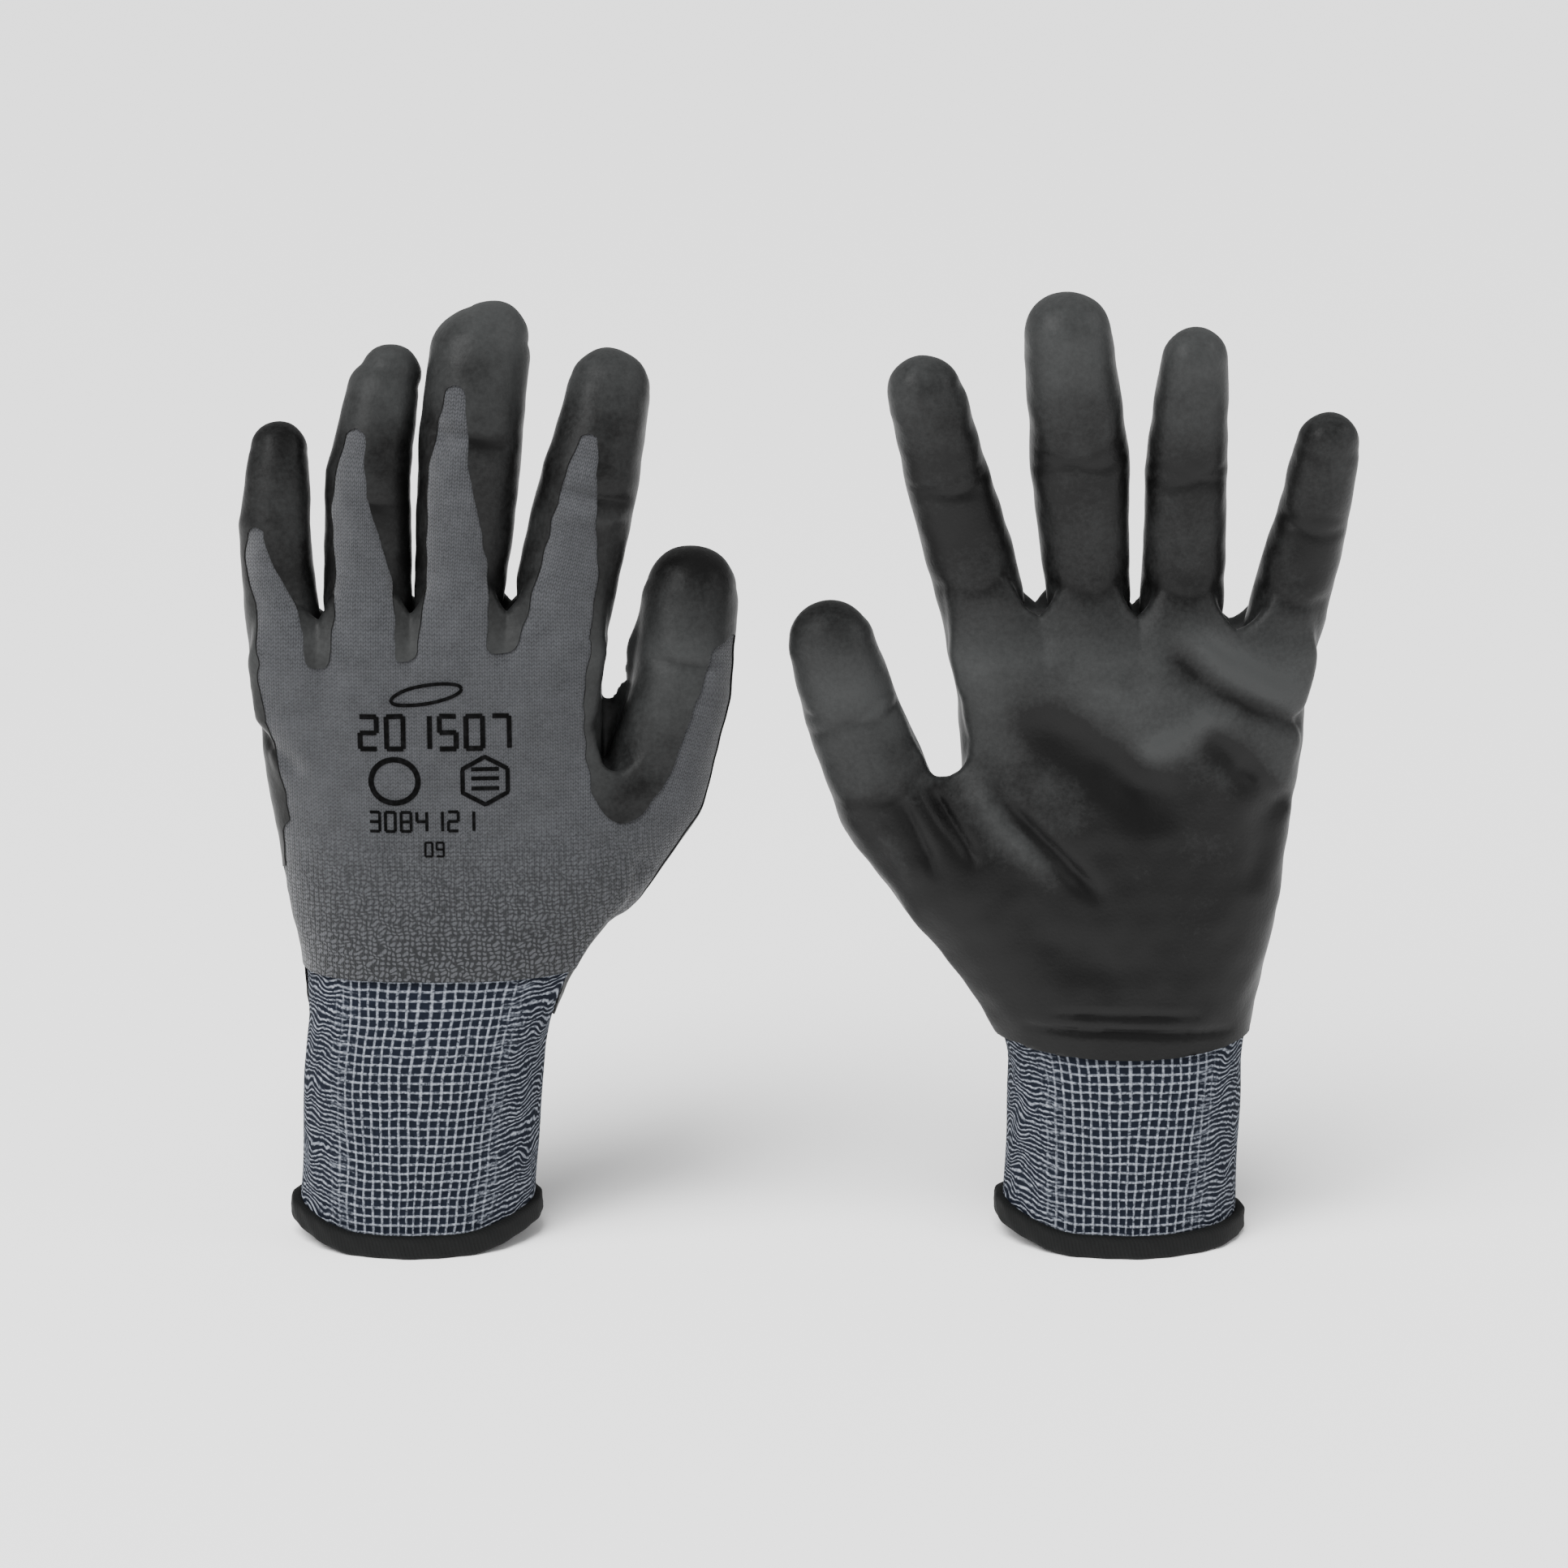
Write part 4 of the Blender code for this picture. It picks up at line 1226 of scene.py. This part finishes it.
    def attach(self, obj: bpy.types.Object, name: str) -> None:
        """Bake the piece's placement into its mesh.

        Args:
            obj: The piece.
            name: Its region.
        """
        if name == "hand":
            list(wrist_bend(self.pattern))
            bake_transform(obj)
            return
        digit, part = name.rsplit("_", 1)
        chain, plane = self.shape.chains[digit], self.planes()[digit]
        if part == "base":
            ends = [chain.p0 + chain.frames[1][2] * s for s in plane[0:2]]
        else:
            ends = [chain.p0 + chain.frames[1][2] * s for s in plane[3:5]]
        ends = to_world(np.array(ends), self.pattern)
        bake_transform(obj)


def wrist_bend(pattern: GlovePattern) -> tuple[tuple, tuple]:
    """Two points up the middle of the wrist, in the row frame."""
    ends = to_world(np.array(((0.0, 4.0, 42.0), (0.0, 4.0, 84.0))), pattern)
    return tuple(ends[0]), tuple(ends[1])


@dataclass
class Cuff:
    """Knit cuff tube with its two-yarn grid raised in relief."""

    pattern: GlovePattern
    shape: SkinField
    finish: bpy.types.Material
    around: int = 440
    rows: int = 132
    inner_rows: int = 24
    pitch: float = 2.45      # mm between pale threads
    wall: float = 1.2        # mm
    relief: float = 0.28     # mm that a thread stands up
    inset: float = 1.0       # mm that the cuff lies inside the hand's surface
    foot: float = 4.4        # mm up, hidden in the hem
    overlap: float = 3.0     # mm that the cuff runs up inside the fine knit

    def point(self, turn: np.ndarray, z: np.ndarray, inset: float) -> np.ndarray:
        """Points of the cuff's wall.

        Args:
            turn: Angles in radians.
            z: Heights in mm.
            inset: Distance inside the hand's surface in mm.

        Returns:
            Places in mm.
        """
        cx, cy, a, b, power = self.shape.section(z)
        c, s = np.cos(turn), np.sin(turn)
        x = np.sign(c) * np.abs(c) ** (2 / power) * (a - inset)
        y = np.sign(s) * np.abs(s) ** (2 / power) * (b - inset)
        return np.stack((cx + x, cy + y, z), axis=-1)

    def build(self) -> bpy.types.Object:
        """Make the cuff.

        Returns:
            The cuff piece.
        """
        seed = self.pattern.seed
        turns = np.linspace(0, TURN, self.around, endpoint=False)
        rise = hem_bow(np.cos(turns), self.pattern)
        foot = self.foot + rise
        shares = np.linspace(0.0, 1.0, self.rows)[:, None]
        z = foot + (RIB_TOP + self.overlap - foot) * shares
        ring = self.point(np.append(turns, TURN), np.full(self.around + 1, 30.0), 0.0)
        arc = np.concatenate(([0.0], np.cumsum(np.linalg.norm(np.diff(ring, axis=0), axis=1))))
        wales = round(arc[-1] / self.pitch)
        turn = np.tile(turns, self.rows)
        u = np.tile(arc[:-1] / arc[-1] * wales, self.rows)
        v = ((z - rise * (1 - shares)) / self.pitch).ravel()
        side = np.abs(np.cos(turn))
        loose = 0.10 + 0.85 * smoothstep(0.55, 0.98, side)
        flat = np.stack((u * 2.4, v * 2.4, np.cos(turn) * 9.0), axis=-1)
        u = u + loose * 0.55 * ripple(flat, 9.0, seed + 20)
        v = v + loose * 0.75 * ripple(flat, 11.0, seed + 21)
        raised = np.maximum(self.thread(u), self.thread(v)) - 0.4
        calm = 1 - 0.7 * smoothstep(0.5, 0.7, side)
        sag = 0.25 * ripple(self.point(turn, z.ravel(), self.inset), 22.0, seed + 30)
        outer = self.wall_points(turn, z.ravel(), self.inset, calm * self.relief * raised + sag)
        shares = np.linspace(1, 0, self.inner_rows)[:, None]
        inner_z = (foot + (RIB_TOP + self.overlap - foot) * shares).ravel()
        inner = self.wall_points(np.tile(turns, self.inner_rows), inner_z, self.inset + self.wall)
        u = np.append(u, np.tile(u[:self.around], self.inner_rows))
        v = np.append(v, inner_z / self.pitch)
        n = self.around

        def stitch(r: int, i: int) -> tuple[float, float]:
            """Stitch coordinates, which count on over the seam."""
            k = r % (len(u) // n) * n + i % n
            return u[k] + wales * (i == n), v[k]

        layers = {"pattern": stitch, "place": lambda r, i: (abs(math.cos(turns[i % n])), 0.0)}
        bm = closed_tube(to_world(np.concatenate((outer, inner)), self.pattern), n, layers)
        name = self.pattern.name
        obj = finish_piece(f"{name}_cuff_knit", bm, self.finish)
        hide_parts(f"{name}_cuff")
        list(wrist_bend(self.pattern))
        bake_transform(obj)
        return obj

    def wall_points(self, turn: np.ndarray, z: np.ndarray, inset: float,
                    lift: np.ndarray | float = 0.0) -> np.ndarray:
        """Points of a wall, lifted outward and eased to the hand's real surface in the upper rows.

        Args:
            turn: Angles in radians.
            z: Heights in mm.
            inset: Distance kept inside the hand's surface in mm.
            lift: Outward lift in mm.

        Returns:
            Places in mm.
        """
        points = self.point(turn, z, inset)
        out = points[:, :2] - np.stack(self.shape.section(z)[:2], axis=-1)
        out /= np.linalg.norm(out, axis=1)[:, None]
        points[:, :2] += out * np.reshape(lift, (-1, 1))
        share = smoothstep(48.0, 60.0, z)
        high = share > 0
        for _ in range(4):
            gap = -self.shape.distance(points[high]) - inset
            points[high, :2] += out[high] * (np.clip(gap, -0.3, 3.0) * share[high])[:, None]
        return points

    @staticmethod
    def thread(value: np.ndarray) -> np.ndarray:
        """Height of a thread laid on each whole and half step."""
        return 1 - smoothstep(0.06, 0.26, np.abs(value - np.floor(value) - 0.5))


def hem_bow(c: np.ndarray, pattern: GlovePattern) -> np.ndarray:
    """Lift of the hem at the lateral share c of its half width, in mm."""
    ends = np.where(c < 0, pattern.hem_rise[0], pattern.hem_rise[1])
    return ends * np.clip((np.abs(c) - 0.42) / 0.58, 0, 1) ** 1.6


@dataclass
class Hem:
    """Soft overlocked band round the cuff's lower edge."""

    pattern: GlovePattern
    finish: bpy.types.Material
    half: tuple[float, float] = (32.0, 21.6)   # mm to the band's middle
    thickness: float = 2.8                     # mm
    around: int = 240
    sides: int = 20
    length: float = 178.0                      # mm round the band

    def build(self) -> bpy.types.Object:
        """Make the hem.

        Returns:
            The hem piece.
        """
        turns = np.linspace(0, TURN, self.around, endpoint=False)
        ring = np.stack((np.cos(turns), np.sin(turns)), axis=-1)
        out = ring / self.half
        out /= np.linalg.norm(out, axis=1)[:, None]
        rise = hem_bow(np.cos(turns), self.pattern)
        rows = []
        for t in np.arange(self.sides) * TURN / self.sides:
            c, s = math.cos(t), math.sin(t)
            w = math.copysign(abs(c) ** 0.55, c) * self.thickness / 2
            h = HEM_HEIGHT / 2 * (1 + math.copysign(abs(s) ** 0.5, s))
            swell = 0.18 * np.sin(turns * 9 + self.pattern.seed) + 0.12 * np.sin(turns * 23 + h)
            flat = ring * self.half + out * (w + swell * (w > 0))[:, None]
            rows.append(np.column_stack((flat, np.maximum(h + rise, 0.0))))
        layers = {"pattern": lambda r, i: (i / self.around * self.length, r * 0.9)}
        bm = closed_tube(to_world(np.concatenate(rows), self.pattern), self.around, layers)
        bmesh.ops.recalc_face_normals(bm, faces=bm.faces[:])
        obj = finish_piece(f"{self.pattern.name}_hem_band", bm, self.finish)
        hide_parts(f"{self.pattern.name}_hem")
        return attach(obj, f"{self.pattern.name}_cuff_body")


@dataclass
class ElasticYarn:
    """Elastic yarn lying against the inside of the cuff."""

    pattern: GlovePattern
    shape: SkinField
    finish: bpy.types.Material
    radius: float = 0.55                      # mm
    turns: int = 4
    steps: int = 48                           # points in one turn
    span: tuple[float, float] = (14.0, 47.0)  # mm up, first and last point
    gap: float = 0.25                         # mm off the cuff's wall

    def build(self) -> bpy.types.Object:
        """Make the yarn.

        Returns:
            The yarn piece.
        """
        curve = bpy.data.curves.new(f"{self.pattern.name}_elastic", "CURVE")
        curve.dimensions = "3D"
        curve.bevel_depth = self.radius * MM
        curve.bevel_resolution = 3
        curve.use_fill_caps = True
        count = self.turns * self.steps + 1
        turn = np.arange(count) * TURN / self.steps
        cuff = Cuff(self.pattern, self.shape, self.finish)
        inset = cuff.inset + cuff.wall + self.radius + self.gap
        places = to_world(cuff.point(turn, np.linspace(*self.span, count), inset), self.pattern)
        spline = curve.splines.new("POLY")
        spline.points.add(count - 1)
        for p, place in zip(spline.points, places):
            p.co = (*place, 1.0)
        curve.materials.append(self.finish)
        obj = show(f"{self.pattern.name}_elastic_yarn", curve)
        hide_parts(f"{self.pattern.name}_cuff_elastic")
        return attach(obj, f"{self.pattern.name}_cuff_body")


Stroke = tuple[list[tuple[float, float]], float]   # points in x and z, and the line's width, in mm


@dataclass
class BackPrint:
    """Plain mark printed on the back: ring, hexagon, oval, bars and numbers."""

    pattern: GlovePattern
    shape: SkinField
    finish: bpy.types.Material
    rows: tuple[tuple[str, float, float, float], ...] = (
        ("201507", -10.0, 136.0, 8.4), ("3084121", -8.0, 114.6, 5.0), ("09", 6.0, 108.0, 3.6))

    def digits(self, text: str, x: float, z: float, size: float) -> list[Stroke]:
        """Draw numbers from straight bars.

        Args:
            text: Numbers to draw.
            x: Left end in mm.
            z: Foot in mm.
            size: Height in mm.

        Returns:
            Their strokes.
        """
        lit = {"0": "abcdef", "1": "bc", "2": "abged", "3": "abgcd", "4": "fgbc", "5": "afgcd", "7": "abc",
               "8": "abcdefg", "9": "abcdfg"}
        w, h = size * 0.5, size * 0.5
        bars = {"a": ((0, 2), (1, 2)), "b": ((1, 2), (1, 1)), "c": ((1, 1), (1, 0)), "d": ((0, 0), (1, 0)),
                "e": ((0, 1), (0, 0)), "f": ((0, 2), (0, 1)), "g": ((0, 1), (1, 1))}
        out = []
        for i, number in enumerate(text):
            left = x + i * size * 0.8
            for bar in lit[number]:
                out.append(([(left + a * w, z + b * h) for a, b in bars[bar]], size * 0.15))
        return out

    def strokes(self) -> list[Stroke]:
        """List the mark's strokes.

        Returns:
            Every stroke.
        """
        turns = np.linspace(0, TURN, 41)
        oval = [(7.0 + 9.0 * math.cos(a), 150.0 + 2.4 * math.sin(a) + 1.6 * math.cos(a)) for a in turns]
        ring = [(-1.5 + 6.0 * math.cos(a), 127.6 + 5.6 * math.sin(a)) for a in turns]
        six = [(21.5 + 6.6 * math.cos(a), 127.6 + 6.2 * math.sin(a))
               for a in np.linspace(0, TURN, 7) + math.pi / 6]
        bars = [([(18.0, 127.6 + d), (25.0, 127.6 + d)], 1.0) for d in (-2.0, 0.6, 3.0)]
        out = [(oval, 0.9), (ring, 1.4), (six, 1.1), *bars]
        for row in self.rows:
            out += self.digits(*row)
        return out

    def settle(self, flat: np.ndarray) -> np.ndarray:
        """Lay points on the glove's back.

        Args:
            flat: Places in x and z, mm.

        Returns:
            Places just above the knit, mm.
        """
        points = np.column_stack((flat[:, 0], np.full(len(flat), -19.0), flat[:, 1]))
        for _ in range(8):
            points[:, 1] += self.shape.distance(points) * 0.9
        points[:, 1] -= 0.16
        return points

    def build(self) -> bpy.types.Object:
        """Make the print.

        Returns:
            The print piece.
        """
        bm = bmesh.new()
        for line, width in self.strokes():
            path = np.array(line, float)
            gaps = np.concatenate(([0], np.cumsum(np.linalg.norm(np.diff(path, axis=0), axis=1))))
            marks = np.linspace(0, gaps[-1], max(2, int(gaps[-1] / 0.7) + 1))
            path = np.column_stack([np.interp(marks, gaps, path[:, i]) for i in range(2)])
            along = np.gradient(path, axis=0)
            along /= np.linalg.norm(along, axis=1)[:, None]
            across = np.column_stack((-along[:, 1], along[:, 0]))
            lanes = max(2, int(width / 0.7) + 1)
            rows = [[bm.verts.new(p) for p in to_world(self.settle(path + across * s), self.pattern)]
                    for s in np.linspace(-width / 2, width / 2, lanes)]
            for low, high in zip(rows, rows[1:]):
                for i in range(len(low) - 1):
                    bm.faces.new((low[i], low[i + 1], high[i + 1], high[i]))
        obj = finish_piece(f"{self.pattern.name}_size_print", bm, self.finish)
        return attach(obj, f"{self.pattern.name}_hand_body")


@dataclass
class Studio:
    """Pale floor, soft lights and the camera."""

    aim: tuple[float, float, float] = (-0.0028, 0.0, 0.1227)
    distance: float = 1.0
    elevation: float = 15.0
    lens: float = 88.73

    def floor(self) -> None:
        """Lay a plain pale floor."""
        bm = bmesh.new()
        bmesh.ops.create_grid(bm, x_segments=8, y_segments=8, size=20.0)
        mesh = bpy.data.meshes.new("studio_floor")
        bm.to_mesh(mesh)
        bm.free()
        sweep = {"Base Color": linear("#fbfbfb"), "Roughness": 0.9, "Specular IOR Level": 0.1}
        mesh.materials.append(Wiring("matt_white_sweep", sweep).material)
        show("studio_floor", mesh)

    def lamp(self, name: str, place: tuple, size: float, power: float) -> None:
        """Hang one soft square lamp aimed at the gloves.

        Args:
            name: Lamp name.
            place: Where it hangs, metres.
            size: Side in metres.
            power: Watts.
        """
        light = bpy.data.lights.new(name, "AREA")
        light.size, light.energy = size, power
        obj = show(name, light)
        obj.location = place
        obj.rotation_euler = (Vector(self.aim) - Vector(place)).to_track_quat("-Z", "Y").to_euler()

    def build(self) -> None:
        """Light the set and place the camera."""
        self.floor()
        world = bpy.data.worlds.new("soft_white")
        world.use_nodes = True
        colour, strength = world.node_tree.nodes["Background"].inputs[:2]
        colour.default_value, strength.default_value = linear("#ffffff"), 0.55
        bpy.context.scene.world = world
        sun = bpy.data.lights.new("overhead_softbox", "SUN")
        sun.energy, sun.angle = 6.0, math.radians(38.0)
        overhead = show("overhead_softbox", sun)
        overhead.rotation_euler = Vector((-0.25, -0.42, 1.0)).to_track_quat("Z", "Y").to_euler()
        overhead.visible_glossy = False
        self.lamp("key_light", (-0.9, -0.9, 1.0), 0.5, 11.0)
        self.lamp("rim_light", (1.4, -0.5, 1.0), 0.7, 6.0)
        camera = bpy.data.cameras.new("camera")
        camera.lens, camera.sensor_width = self.lens, 36.0
        obj = show("camera", camera)
        a = math.radians(self.elevation)
        back = Vector((0.0, -math.cos(a), math.sin(a)))
        obj.location = Vector(self.aim) + back * self.distance
        obj.rotation_euler = (-back).to_track_quat("-Z", "Y").to_euler()
        bpy.context.scene.camera = obj


def main() -> None:
    """Build the studio and both gloves."""
    logging.basicConfig(level=logging.INFO, format="%(name)s: %(message)s")
    Studio().build()
    finishes = {Layer.KNIT: LinerKnit().build(), Layer.COATING: FoamNitrile().build()}
    rib, hem, yarn, ink = (finish().build() for finish in (RibKnit, HemBinding, CoveredElastic, PrintInk))
    for pattern in GLOVES:
        skin = Skin(pattern, finishes)
        pieces = skin.build()
        pieces.append(Cuff(pattern, skin.shape, rib).build())
        pieces.append(Hem(pattern, hem).build())
        pieces.append(ElasticYarn(pattern, skin.shape, yarn).build())
        pieces.append(BackPrint(pattern, skin.shape, ink).build())
        for piece in pieces:
            LOG.info("%s made", piece.name)


if __name__ == "__main__":
    main()
